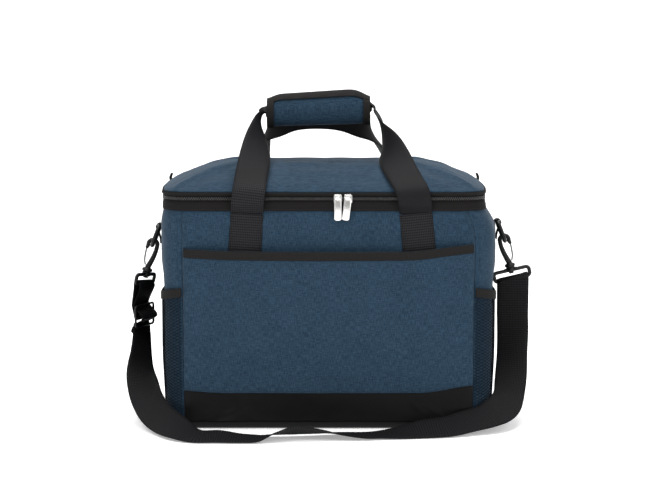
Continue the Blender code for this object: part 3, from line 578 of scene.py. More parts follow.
def webbing_finish(name, colour, pitch=0.0021, rib=0.0029, lift=7.0, plain=None):
    """Grid-woven webbing: pillows of warp by weft with painted shade in the grooves between them and painted
    highlight on the pillows, and finer yarn on each.

    Between the two lengths of plain the grid gives way to a closer, flatter weave."""
    f = Finish(name, 0.66, Specular_IOR_Level=0.08)
    place, u, v = f.uv()
    column = (u * (math.pi / pitch)).sin().size() ** 0.8
    row = (v * (math.pi / rib)).sin().size() ** 0.8
    pillow = column * row
    if plain:
        flat = v.above(plain[0], plain[0] + 0.02) * (1 - v.above(plain[1] - 0.02, plain[1]))
        close = (u * (math.pi / 0.0012)).sin().size() * 0.20 + 0.16
        pillow = pillow * (1 - flat) + close * flat
    yarn = f.noise(place, (2600, 900, 100), 2.0)
    # Colour: painted shade in the grooves between pillows and painted highlight on their crowns, with random yarn
    # tone
    f.colour(f.between(pillow * 0.85 + yarn * 0.25 - 0.08, shade(colour, 0.20), shade(colour, lift)))
    f.bump(pillow * 0.85 + yarn * 0.15, 0.00045, 0.8)
    return f.material


def coated_finish(name, colour):
    """Smooth coated cloth: a soft sheen broken by faint broad patches and a very fine grain."""
    f = Finish(name, 0.46, Specular_IOR_Level=0.11)
    place = f.object_place()
    patch = f.noise(place, (34, 34, 60), 3.0)
    grain = f.noise(place, (1500, 1500, 1500), 2.0)
    f.colour(f.between(patch * 0.7 + grain * 0.3, shade(colour, 0.6), shade(colour, 1.7)))
    f.rough(patch * 0.22 + grain * 0.08 + 0.34)
    f.bump(grain * 0.5 + patch * 0.5, 0.00012, 0.5)
    return f.material


def net_finish(name, colour):
    """Dull twisted yarn."""
    f = Finish(name, 0.75, Specular_IOR_Level=0.12)
    yarn = f.noise(f.object_place(), (2200, 2200, 2200), 2.0)
    f.colour(f.between(yarn, shade(colour, 0.6), shade(colour, 1.6)))
    f.bump(yarn, 0.0001, 0.5)
    return f.material


def foil_finish(name):
    """Crinkled aluminised film."""
    f = Finish(name, 0.30, 0.92)
    place = f.object_place()
    facet = f.node("ShaderNodeTexVoronoi", {"feature": "F1"}, Vector=place, Scale=95.0)
    fine = f.noise(place, (260, 260, 260), 4.0)
    f.colour(f.between(fine, (0.56, 0.57, 0.58), (0.86, 0.87, 0.88)))
    f.rough(fine * 0.22 + 0.18)
    f.bump(facet * 0.6 + fine * 0.4, 0.0012, 0.5)
    return f.material


def foam_finish(name):
    """Pale closed-cell foam."""
    f = Finish(name, 0.9)
    place = f.object_place()
    cell = f.node("ShaderNodeTexVoronoi", {"feature": "F1"}, Vector=place, Scale=620.0)
    f.colour(f.between(cell, (0.80, 0.80, 0.76), (0.90, 0.90, 0.87)))
    f.bump(cell, 0.0003, 0.6)
    return f.material


def plastic_finish(name, shade_of=0.0055):
    """Moulded acetal: satin black with a faint orange peel and rubbed patches."""
    f = Finish(name, 0.36, Specular_IOR_Level=0.28)
    place = f.object_place()
    peel = f.noise(place, (900, 900, 900), 2.0)
    rub = f.noise(place, (140, 140, 140), 3.0)
    f.colour(f.between(rub, (shade_of * 0.7,) * 3, (shade_of * 1.7,) * 3))
    f.rough(rub * 0.22 + 0.24)
    f.bump(peel, 0.00006, 0.6)
    return f.material


def metal_finish(name, low, high, roughness, stretch=(300, 300, 1800)):
    """Plated or drawn metal: fine drawn grain and slightly uneven polish."""
    f = Finish(name, roughness, 1.0)
    place = f.object_place()
    grain = f.noise(place, stretch, 3.0)
    polish = f.noise(place, (120, 120, 120), 2.0)
    f.colour(f.between(polish, low, high))
    f.rough(grain * 0.12 + polish * 0.08 + (roughness - 0.08))
    f.bump(grain, 0.00003, 0.5)
    return f.material


def paper_finish(name):
    """Plain white studio paper."""
    f = Finish(name, 0.95, Specular_IOR_Level=0.1, Emission_Color=(1.0, 1.0, 1.0, 1.0), Emission_Strength=0.34)
    fleck = f.noise(f.object_place(), (40, 40, 40), 3.0)
    f.colour(f.between(fleck, (0.93, 0.93, 0.93), (0.95, 0.95, 0.95)))
    return f.material


MADE = {}


def finish(name):
    """The named material, made once."""
    if name not in MADE:
        c = bpy.context.scene.cooler_bag_colours
        makers = {
            "blue_cloth": lambda: cloth_finish("Heathered_cloth", c.cloth_dark, c.cloth_light),
            "blue_pad": lambda: cloth_finish("Heathered_cloth_pad", c.cloth_dark, c.cloth_light, False),
            "binding": lambda: tape_finish("Binding_tape", c.binding),
            "zip_tape": lambda: tape_finish("Zip_tape", shade(c.binding, 0.8), 0.0009, True, 1.6),
            "webbing": lambda: webbing_finish("Handle_webbing", c.webbing),
            "webbing_free": lambda: webbing_finish("Handle_webbing_free", c.webbing, plain=(0.030, 0.60)),
            "strap": lambda: webbing_finish("Strap_webbing", c.webbing, 0.0019, 0.0029, 4.0),
            "black_cloth": lambda: coated_finish("Coated_cloth", c.coated),
            "base_cloth": lambda: coated_finish("Base_cloth", shade(c.coated, 2.4)),
            "net": lambda: net_finish("Net_yarn", c.net),
            "foil": lambda: foil_finish("Foil_lining"),
            "foam": lambda: foam_finish("Foam_board"),
            "plastic": lambda: plastic_finish("Clip_plastic"),
            # Zip teeth: grey raised far above the clip plastic's black as painted glints along the tooth row
            "teeth": lambda: plastic_finish("Zip_teeth", 0.030),
            "nickel": lambda: metal_finish("Bright_nickel", (0.78, 0.77, 0.75), (0.92, 0.91, 0.89), 0.20),
            "wire": lambda: metal_finish("Gate_wire", (0.16, 0.16, 0.165), (0.26, 0.26, 0.265), 0.32),
            "thread": lambda: net_finish("Thread", (0.020, 0.020, 0.022)),
            "blue_thread": lambda: net_finish("Blue_thread", (0.012, 0.030, 0.052)),
            "paper": lambda: paper_finish("Studio_paper"),
        }
        MADE[name] = makers[name]()
    return MADE[name]


def fit(item, body, slot, *nodes):
    """Ride on a body and stand for the CAD nodes; slot is not used."""
    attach(item, body)
    if nodes:
        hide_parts(*nodes)
    return item


# ---------------------------------------------------------------- hardware places

class Clip:
    """One side's hardware: u points away from the bag and v up along the hook, both leaning by 13 degrees."""

    def __init__(self, side):
        self.side, self.sign = side, 1 if side == "right" else -1
        self.drop = 0 if side == "right" else 0.0055
        yaw = 0 if side == "right" else math.radians(-65)
        slant, lean = math.radians(21), math.radians(13)
        self.bar = np.array((self.sign * 0.2043, 0, 0.2300 - self.drop))
        self.slant = np.array((self.sign * math.sin(slant), 0, -math.cos(slant)))
        self.bow = self.bar + self.slant * 0.0235
        self.u = np.array((self.sign * math.cos(lean), 0, math.sin(lean)))
        self.v = np.array((-self.sign * math.sin(lean), 0, math.cos(lean)))
        self.across = self.u * math.cos(yaw) + np.array((0, 1, 0)) * math.sin(yaw)
        self.normal = np.cross(self.across, self.v) * -self.sign
        self.foot = self.bow + self.v * -0.0485

    def hook(self, points):
        """Points (u, v) of the hook's plane."""
        points = np.asarray(points, float)
        return self.bow + self.u * points[:, :1] + self.v * points[:, 1:2]

    def ring(self, points):
        """Points (a, v) of the strap ring's plane."""
        points = np.asarray(points, float)
        return self.bow + self.across * points[:, :1] + self.v * points[:, 1:2]


RIGHT, LEFT = Clip("right"), Clip("left")

STRAP_RUN = (
    (0.2232, -0.0100, 0.0930, 0.97, -0.22, 0),
    (0.2205, -0.0320, 0.0660, 0.80, -0.55, -0.20),
    (0.2155, -0.0660, 0.0425, 0.60, -0.64, -0.48),
    (0.2075, -0.1030, 0.0272, 0.28, -0.78, -0.55),
    (0.1890, -0.1310, 0.0200, 0.14, -0.84, -0.52),
    (0.1615, -0.1440, 0.0150, 0.15, -0.84, -0.50),
    (0.1368, -0.1530, 0.0102, 0.15, -0.88, -0.45),
    (0.1080, -0.1570, 0.0080, 0.10, -0.92, -0.36),
    (0.0850, -0.1600, 0.0052, 0.05, -0.97, -0.20),
    (0.0600, -0.1630, 0.0028, 0, -1, -0.06),
    (0.0390, -0.1660, 0.0020, 0, -1, 0),
    (0.0150, -0.1690, 0.0042, 0, -0.99, 0.13),
    (-0.0100, -0.1725, 0.0078, 0, -0.93, 0.33),
    (-0.0385, -0.1765, 0.0098, 0, -0.90, 0.42),
    (-0.0600, -0.1800, 0.0068, 0, -0.96, 0.24),
    (-0.0790, -0.1825, 0.0022, 0, -1, 0),
    (-0.1000, -0.1840, 0.0030, 0, -1, -0.07),
    (-0.1250, -0.1825, 0.0052, -0.10, -0.98, -0.18),
    (-0.1512, -0.1810, 0.0050, -0.22, -0.95, -0.20),
    (-0.1715, -0.1680, 0.0098, -0.20, -0.90, -0.36),
    (-0.1975, -0.1295, 0.0180, -0.20, -0.82, -0.50),
    (-0.2120, -0.0960, 0.0290, -0.30, -0.80, -0.52),
    (-0.2210, -0.0600, 0.0425, -0.52, -0.80, -0.30),
    (-0.2250, -0.0330, 0.0560, -0.56, -0.82, -0.10),
    (-0.2265, -0.0150, 0.0740, -0.50, -0.86, 0),
)

FRONT_HANDLE = (
    (-0.0935, -0.1214, 0.2531, 1, 0, 0, 0.038),
    (-0.0928, -0.1288, 0.2650, 1, 0, 0, 0.038),
    (-0.0910, -0.1262, 0.2800, 1, 0.05, 0, 0.038),
    (-0.0885, -0.1000, 0.2975, 0.92, 0.35, 0, 0.038),
    (-0.0850, -0.0640, 0.3180, 0.70, 0.70, 0, 0.038),
    (-0.0820, -0.0280, 0.3390, 0.35, 0.95, 0, 0.036),
    (-0.0815, -0.0070, 0.3540, 0.05, 1, 0, 0.029),
    (-0.0775, -0.0010, 0.3625, -0.10, 0.95, 0.30, 0.024),
    (-0.0680, 0.0000, 0.3637, 0, 0.80, 0.60, 0.023),
    (-0.0120, 0.0000, 0.3663, 0, 0.70, 0.70, 0.023),
    (0.0450, 0.0000, 0.3688, 0, 0.80, 0.60, 0.023),
    (0.0545, -0.0010, 0.3675, 0.10, 0.95, -0.20, 0.024),
    (0.0600, -0.0070, 0.3570, 0.20, 0.95, 0, 0.029),
    (0.0655, -0.0280, 0.3360, -0.20, 0.97, 0, 0.036),
    (0.0770, -0.0700, 0.3120, -0.75, 0.65, 0, 0.038),
    (0.0865, -0.1030, 0.2950, -0.94, 0.30, 0, 0.038),
    (0.0955, -0.1262, 0.2800, -1, 0.05, 0, 0.038),
    (0.0990, -0.1288, 0.2650, -1, 0, 0, 0.038),
    (0.1003, -0.1214, 0.2531, -1, 0, 0, 0.038),
)

BACK_HANDLE = (
    (-0.0990, 0.1226, 0.2531, 1, 0, 0, 0.038),
    (-0.0985, 0.1288, 0.2650, 1, 0, 0, 0.038),
    (-0.0965, 0.1262, 0.2800, 1, -0.05, 0, 0.038),
    (-0.0920, 0.1000, 0.2975, 0.92, 0, 0.30, 0.038),
    (-0.0870, 0.0680, 0.3130, 0.80, 0, 0.60, 0.038),
    (-0.0810, 0.0420, 0.3280, 0.60, 0.25, 0.80, 0.037),
    (-0.0680, 0.0260, 0.3450, 0.20, 0.20, 1, 0.037),
    (-0.0450, 0.0230, 0.3565, 0, 0, 1, 0.037),
    (-0.0120, 0.0225, 0.3595, 0, 0, 1, 0.037),
    (0.0200, 0.0230, 0.3560, 0, 0, 1, 0.037),
    (0.0450, 0.0260, 0.3450, -0.20, 0.20, 1, 0.037),
    (0.0590, 0.0430, 0.3270, -0.60, 0.25, 0.80, 0.037),
    (0.0700, 0.0680, 0.3130, -0.80, 0, 0.60, 0.038),
    (0.0850, 0.1000, 0.2975, -0.92, 0, 0.30, 0.038),
    (0.0960, 0.1262, 0.2800, -1, -0.05, 0, 0.038),
    (0.0985, 0.1288, 0.2650, -1, 0, 0, 0.038),
    (0.0990, 0.1226, 0.2531, -1, 0, 0, 0.038),
)


# ---------------------------------------------------------------- operators

class BuildStep(bpy.types.Operator):
    """Common part of every building step."""

    bl_idname = "cooler_bag.step"
    bl_label = "Cooler bag step"

    @property
    def sizes(self):
        """The scene's sizes."""
        return bpy.context.scene.cooler_bag_sizes


class COOLERBAG_OT_stage(BuildStep):
    """Camera, pale floor that runs up into a backdrop, and soft studio light."""

    bl_idname = "cooler_bag.stage"
    bl_label = "Studio"

    def execute(self, context):
        """Place the camera, the lights and the paper."""
        scene = context.scene
        data = bpy.data.cameras.new("Camera")
        data.sensor_width, data.lens, data.clip_end = 36.0, 111.4, 30.0
        camera = bpy.data.objects.new("Camera", data)
        scene.collection.objects.link(camera)
        camera.location = (0.0, -2.42, 0.48)
        camera.rotation_euler = (math.radians(83.30), 0.0, math.radians(0.10))
        scene.camera = camera
        world = bpy.data.worlds.new("Studio")
        world.use_nodes = True
        world.node_tree.nodes["Background"].inputs[0].default_value = (1.0, 1.0, 1.0, 1.0)
        world.node_tree.nodes["Background"].inputs[1].default_value = 0.42
        scene.world = world
        scene.view_settings.view_transform = "Standard"
        for name, place, size, power in (("Key", (-1.1, -1.7, 2.4), 1.4, 42.0), ("Fill", (1.6, -1.7, 1.5), 1.4, 20.0),
                                         ("Top", (0.1, 0.5, 2.6), 2.0, 62.0)):
            lamp = bpy.data.lights.new(name, "AREA")
            lamp.energy, lamp.size = power, size
            item = bpy.data.objects.new(name, lamp)
            scene.collection.objects.link(item)
            item.location = place
            item.rotation_euler = (Vector((0, 0, 0.12)) - item.location).to_track_quat("-Z", "Y").to_euler()
        x = np.linspace(-6, 6, 13)
        t = np.linspace(0, 1, 60)
        y = np.where(t < 0.6, -4 + t / 0.6 * 6, 2 + 1.2 * np.sin((t - 0.6) / 0.4 * math.pi / 2))
        z = np.where(t < 0.6, 0, 1.2 * (1 - np.cos((t - 0.6) / 0.4 * math.pi / 2)) * 3)
        points = np.stack([np.broadcast_to(x[:, None], (13, 60)), np.broadcast_to(y, (13, 60)),
                           np.broadcast_to(z - 0.0002, (13, 60))], axis=-1)
        grid("Studio_paper", points, finish("paper"))
        return {"FINISHED"}


class COOLERBAG_OT_strap(BuildStep):
    """Shoulder strap: the free run on the floor, its two sewn ends and the three-bar slide."""

    bl_idname = "cooler_bag.strap"
    bl_label = "Shoulder strap"

    def execute(self, context):
        """Carry the webbing along the route and split it into the free run and the two ends that loop over the clips'
        strap bars.
        """
        drop, pitch, loop = ADJUSTER_DROP, ADJUSTER_PITCH, 0.0036

        def beside(clip, n, low):
            """Below the clip's strap bar by low, and n along the ring's normal."""
            return (*(clip.foot + clip.normal * n - np.array((0, 0, low))), clip.across[0], clip.across[1], 0)

        def over(clip, angles):
            """Half turn of the loop's radius over the clip's strap bar."""
            return [(*(clip.foot + clip.normal * (loop * math.cos(a)) + clip.v * (loop * math.sin(a))), *clip.across)
                    for a in np.radians(angles)]

        right = [beside(RIGHT, 0.0014, 0.046), beside(RIGHT, 0.0022, 0.030), beside(RIGHT, 0.0030, 0.010)]
        right += over(RIGHT, (0, 45, 90, 135, 180))
        right += [beside(RIGHT, -0.0030, 0.010), beside(RIGHT, -0.0022, 0.030), beside(RIGHT, -0.0014, 0.046)]
        left = [beside(LEFT, n, drop + low) for n, low in (
            (0.0038, pitch + 0.004), (0.0038, pitch - 0.002), (-0.0063, 0.0025), (-0.0063, -0.0025),
            (0.0038, 0.002 - pitch), (0.0038, -0.004 - pitch))]
        left += [beside(LEFT, -0.0036, 0.006)] + over(LEFT, (180, 135, 90, 45, 0)) + [beside(LEFT, 0.0042, 0.006)]
        left += [beside(LEFT, n, drop + low) for n, low in (
            (0.0068, -0.003 - pitch), (0.0068, 0.002 - pitch), (0.0046, -0.002), (0.0036, 0.0022),
            (0.0004, 0.0042))]
        stations = [(*row, STRAP_WIDTH) for row in right + list(STRAP_RUN) + left]
        rows = route(stations, (len(stations) - 1) * 8 + 1)
        first, last = len(right) * 8, (len(right) + len(STRAP_RUN)) * 8
        wide = finish("strap")

        def sag(v, a):
            """Edges that curl by under a millimetre and a slow uneven wave."""
            return 0.0006 * np.square(a / 0.019) * np.sin(v * 21) + 0.0004 * np.sin(v * 63 + 30 * a)

        for side, part in (("right", rows[:first + 1]), ("left", rows[last - 1:])):
            clip = RIGHT if side == "right" else LEFT
            end = ribbon("strap_end_" + side, part, self.sizes.strap, wide)
            low = part[0 if side == "left" else -1, 2] + 0.004
            "clip_" + side
            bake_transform(end)
        main = rows[first - 1:last + 1]
        run = ribbon("strap_run", main, self.sizes.strap, wide, sag)
        fit(run, "bag", "webbing", "shoulder_strap")
        slide = self.slide(finish("plastic"))
        fit(slide, "bag", "plastic", "strap_adjuster")
        path = [[tuple(rows[k, :3] + rows[k, 3:6] * side * 0.016 + RIGHT.normal * 0.0012) for k in (0, 12)]
                for side in (-1, 1)]
        seam = stitches("strap_stitches", path, [RIGHT.normal] * 2, finish("thread"), self.sizes.stitch_pitch)
        rows[first, 2] + 0.004
        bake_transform(seam)
        return {"FINISHED"}

    def slide(self, plastic):
        """Flat three-bar slide: a rounded frame and a middle bar, both oval in section."""
        across = unit(np.array((LEFT.across[0], LEFT.across[1], 0)))
        up, centre = np.array((0, 0, 1.0)), LEFT.foot - np.array((0, 0, ADJUSTER_DROP))
        loop = rounded_loop(0.0218, ADJUSTER_PITCH + 0.0002, 0.0034)
        frame_path = centre + across * loop[:, :1] + up * loop[:, 1:]
        thin = wire("slide_frame", frame_path, np.cross(across, up), 0.0014, plastic, closed=True)
        bar = centre + across * np.linspace(-0.0215, 0.0215, 24)[:, None]
        middle = wire("slide_bar", bar, np.cross(across, up), 0.0014, plastic)
        return join("strap_slide", [thin, middle])


class COOLERBAG_OT_shell(BuildStep):
    """Outer cloth of the four walls with pinched corner seams, and the coated base."""

    bl_idname = "cooler_bag.shell"
    bl_label = "Walls and base"

    def execute(self, context):
        """Lay the walls along the outline and the base round its lower edge."""
        blue = finish("blue_cloth")
        half = GIRTH / 2
        low = RIM_Z + GAP
        seams = (-SEAM_S, SEAM_S, half - SEAM_S, half + SEAM_S, GIRTH - SEAM_S, GIRTH + SEAM_S)

        def relief(s, z):
            """Soft unevenness, a pinch and two welts at each corner seam, a rolled shoulder under the zip."""
            lift = 0.0006 * ripple(2.2 * s, 2.6 * z, 0.8) * smooth((0.2520 - z) / 0.02)
            for seam in seams:
                d = np.abs(s - seam)
                lift = lift - 0.0006 * bell(d / 0.0016) + 0.0006 * bell((d - 0.0052) / 0.0030)
                lift = lift + 0.0004 * bell(d / 0.02) * np.sin(z * 210 + 40 * d)
            shoulder = 0.0012 * bell((z - 0.241) / 0.010) - 0.0011 * smooth((z - 0.2475) / 0.0075)
            return lift + shoulder

        for name, start, stop in (("front", -SEAM_S, SEAM_S), ("right", SEAM_S + 0.0001, half - SEAM_S - 0.0001),
                                  ("back", half - SEAM_S, half + SEAM_S),
                                  ("left", half + SEAM_S + 0.0001, GIRTH - SEAM_S - 0.0001)):
            count = int((stop - start) / 0.0028)
            wall = panel(f"wall_{name}", edged(start, stop, count), edged(low, PANEL_TOP, 84), relief, CLOTH, blue)
            fit(wall, "bag", "blue_cloth", f"outer_{name}_panel")
        self.base()
        lines, ups = [], []
        z = np.linspace(0.050, 0.250, 90)
        for seam in (-SEAM_S, SEAM_S, half - SEAM_S, half + SEAM_S):
            for side in (-0.0045, 0.0045):
                s = np.full_like(z, seam + side)
                lines.append(outline(s, z, relief(s, z) + 0.00010))
                ups.append(unit(outline(s, z, 0.01) - outline(s, z, 0.0)))
        thread = stitches("wall_stitches", lines, ups, finish("blue_thread"), self.sizes.stitch_pitch, radius=0.0002)
        fit(thread, "bag", "binding")
        return {"FINISHED"}

    def base(self):
        """Base tray: wall, quarter round of the edge, then in to the middle, as one closed sheet."""
        radius = 0.008
        s = np.linspace(0, GIRTH, 361)[:-1]
        turn = np.radians(np.linspace(0, 90, 9))
        out = np.concatenate(([0.0], -radius * (1 - np.cos(turn))))
        z = np.concatenate(([RIM_Z], radius * (1 - np.sin(turn))))
        edge = outline(s[:, None], np.maximum(z, 0.0)[None], out[None])
        inner = [edge[:, -1] * np.array((k, k, 1)) for k in (0.94, 0.8, 0.6, 0.4, 0.2, 0.05)]
        points = np.concatenate((edge, np.stack(inner, axis=1)), axis=1)
        item = grid("base_tray", points, finish("base_cloth"), close_u=True)
        shape = bmesh.new()
        shape.from_mesh(item.data)
        rim = [e for e in shape.edges if e.is_boundary and max(v.co.z for v in e.verts) < 0.001]
        bmesh.ops.contextual_create(shape, geom=rim)
        shape.to_mesh(item.data)
        shape.free()
        thicken(tidy(item, outward=(0, 0, 0.1)), 0.0014)
        fit(item, "bag", "black_cloth", "outer_base_panel")


def pocket_stand(x, z):
    """Pocket's stand-off: 1.8 mm and 8 mm more by (1 - (x/half)^2)^0.6 and a smoothstep of the height."""
    across = np.maximum(0.0, 1 - (x / SEAM_X) ** 2) ** 0.6
    return 0.0018 + 0.008 * across * smooth(z / 0.12)


def front_place(x, z, extra):
    """Point in front of the body: the corner's own set-back, the pocket's stand-off, and extra."""
    edge = np.maximum(np.abs(x) - FLAT_X, 0)
    back = CORNER - np.sqrt(CORNER ** 2 - edge ** 2)
    return np.stack((x, -HALF_D + back - pocket_stand(x, z) - extra, z), axis=-1)


def rise(x):
    """Seam heights lift by 7 mm toward the right end and 1.5 mm toward the left."""
    return 0.0065 * smooth((x - 0.090) / 0.080) + 0.0012 * smooth((-x - 0.11) / 0.06)


class COOLERBAG_OT_front(BuildStep):
    """Front slip pocket, its top binding, and the coated band along its foot."""

    bl_idname = "cooler_bag.front"
    bl_label = "Front pocket"

    def sheet(self, name, x, v, low, high, extra, thickness, material):
        """A sheet from low(x) to high(x) by v, standing extra(x, z) proud of the pocket's bulge."""
        x, v = np.meshgrid(x, v, indexing="ij")
        z = low(x) + (high(x) - low(x)) * v
        item = grid(name, front_place(x, z, extra(x, z)), material, uv=np.stack((x, z - low(x)), axis=-1))
        return thicken(tidy(item, outward=(0, 0.3, 0.13)), thickness)

    def execute(self, context):
        """Build the three cloth sheets and their stitching."""
        x = edged(-SEAM_X, SEAM_X, 150)
        unit_rows = edged(0, 1, 80, 0.006)

        def top(x):
            """Pocket's upper edge: sags in the middle and lifts at its right end."""
            return POCKET_TOP - 0.0030 + rise(x) - 0.0015 * (1 - (x / SEAM_X) ** 2)

        def fold(x):
            """Line where the coated band begins."""
            return BAND_TOP + 0.0085 * smooth((x - 0.105) / 0.065) + 0.0022 * smooth((-x - 0.12) / 0.05)

        def soft(x, z):
            """Slow billow, short puckers beside the end seams, and a seam pinch at both ends."""
            ends = bell((np.abs(x) - SEAM_X) / 0.012)
            pucker = 0.0008 * ends * np.sin(z * 260 + 7 * np.sign(x))
            return 0.0009 * ripple(1.6 * x, 1.9 * z, 2.0) + pucker - 0.0008 * ends ** 4 + 0.0006

        pocket = self.sheet("front_pocket_cloth", x, unit_rows, lambda x: fold(x) + 0.0003, top, soft, CLOTH,
                            finish("blue_cloth"))
        fit(pocket, "bag", "blue_cloth", "front_pocket_panel")

        def roll(x, z):
            """Binding stands over the pocket and rolls back at its two long edges."""
            t = (top(x) - z) / 0.0102
            edges = 0.0007 * bell(t / 0.09) + 0.0006 * bell((t - 1) / 0.09)
            return soft(x, z) + 0.0012 - edges + 0.00015 * np.sin(x * 900)

        binding = self.sheet("front_pocket_tape", edged(-SEAM_X, SEAM_X, 260), edged(0, 1, 9, 0.08),
                             lambda x: top(x) - 0.0102, top, roll, CLOTH, finish("binding"))
        fit(binding, "bag", "binding", "front_pocket_binding")

        def creases(x, z):
            """Long slanting creases that run in from both lower corners of the coated band."""
            left = bell((x + 0.150 - 1.9 * z) / 0.010) * smooth((0.05 - x - 0.115) / 0.05)
            right = bell((x - 0.128 + 0.9 * z) / 0.006) + bell((x - 0.150 + 1.3 * z) / 0.006)
            wave = 0.0010 * np.sin((x + 1.6 * z) * 120) * smooth((-x - 0.03) / 0.1)
            return soft(x, z) * 0.7 + 0.0022 * left + 0.0016 * right * smooth((0.045 - z) / 0.02) + wave * 0.7

        band = self.sheet("front_band", x, edged(0, 1, 26, 0.02), lambda x: np.full_like(x, RIM_Z + GAP), fold,
                          creases, CLOTH, finish("black_cloth"))
        fit(band, "bag", "black_cloth", "front_lower_band")

        line = np.linspace(-SEAM_X + 0.003, SEAM_X - 0.003, 300)
        lines, ups = [], []
        for z, extra in ((top(line) - 0.0088, 0.0012), (top(line) - 0.0016, 0.0012), (fold(line) + 0.0020, 0.0)):
            proud = soft(line, z) + extra + 0.00012
            lines.append(front_place(line, z, proud))
            ups.append(np.tile((0.0, -1.0, 0.0), (len(line), 1)))
        thread = stitches("pocket_stitches", lines, ups, finish("thread"), self.sizes.stitch_pitch)
        fit(thread, "bag", "binding")
        return {"FINISHED"}


class COOLERBAG_OT_nets(BuildStep):
    """Open diamond nets on both sides, hung from a woven binding."""

    bl_idname = "cooler_bag.nets"
    bl_label = "Side nets"

    def execute(self, context):
        """Zigzag yarns that touch at their turns, laid on the pocket's bulge."""
        start, stop = SEAM_S + 0.0008, GIRTH / 2 - SEAM_S - 0.0008
        centre, half = (start + stop) / 2, (stop - start) / 2
        pitch = self.sizes.net_pitch
        rows = int((NET_TOP + NET_SAG - RIM_Z - 0.008) / (pitch * 0.85))

        def stand(s, z):
            """Net's stand-off from the side."""
            across = np.maximum(0.0, 1 - ((s - centre) / half) ** 2) ** 0.6
            return 0.0014 + 0.0022 * across * smooth(z / 0.10)

        def dip(s):
            """Top edge: it sags by NET_SAG from both ends to the middle, as the square of the distance."""
            return NET_TOP - 0.0010 + NET_SAG * ((s - centre) / half) ** 2

        for side, shift in (("right", 0.0), ("left", GIRTH / 2)):
            strands = np.arange(int((stop - start) / pitch)) * pitch + start + pitch / 2
            t = np.linspace(0, 1, rows * 2 + 1)
            sign = np.where(np.arange(len(t)) % 2 == 0, 1, -1)
            way = np.where(np.arange(len(strands)) % 2 == 0, 1, -1)[:, None]
            s = np.clip(strands[:, None] + way * sign[None] * pitch * 0.5, start, stop)
            z = RIM_Z + 0.0006 + (dip(s) - 0.006 - RIM_Z) * t[None]
            line = outline(s + shift, z, stand(s, z))
            out = unit(outline(s + shift, z, stand(s, z) + 0.01) - line)
            ahead = unit(np.gradient(line, axis=1))
            wide = np.cross(out, ahead)
            turn = np.radians((45, 135, 225, 315))
            points = (line[:, :, None] + wide[:, :, None] * np.cos(turn)[:, None] * 0.00085
                      + out[:, :, None] * np.sin(turn)[:, None] * 0.00050)
            k, i, j = np.meshgrid(np.arange(len(points)), np.arange(len(t) - 1), np.arange(4), indexing="ij")
            base = k * len(t) * 4
            quads = np.stack((base + i * 4 + j, base + i * 4 + (j + 1) % 4, base + (i + 1) * 4 + (j + 1) % 4,
                              base + (i + 1) * 4 + j), axis=-1).reshape(-1, 4).tolist()
            tops = np.arange(len(points))[:, None] * len(t) * 4 + np.arange(4)
            quads += tops[:, ::-1].tolist() + (tops + (len(t) - 1) * 4).tolist()
            net = tidy(put("net_" + side, points.reshape(-1, 3), quads, None, finish("net")))
            fit(net, "bag", "net", "net_pocket_" + side)
            s, v = np.meshgrid(edged(start, stop, 90), edged(0, 1, 9, 0.08), indexing="ij")
            z = dip(s) - 0.0105 * (1 - v)
            roll = 0.0016 - 0.0005 * bell(v / 0.1) - 0.0005 * bell((1 - v) / 0.1)
            tape = grid("net_tape_" + side, outline(s + shift, z, stand(s, z) + roll), finish("binding"),
                        uv=np.stack((s, z), axis=-1))
            thicken(tidy(tape, outward=(0, 0, 0.13)), CLOTH)
            fit(tape, "bag", "binding", "net_binding_" + side)
            line = np.linspace(start + 0.003, stop - 0.003, 120)
            height = dip(line) - 0.0090
            seam = stitches("net_stitches_" + side, [outline(line + shift, height, stand(line, height) + 0.0017)],
                            [unit(outline(line + shift, height, 0.01) - outline(line + shift, height, 0.0))],
                            finish("thread"), self.sizes.stitch_pitch)
            fit(seam, "bag", "binding")
        return {"FINISHED"}


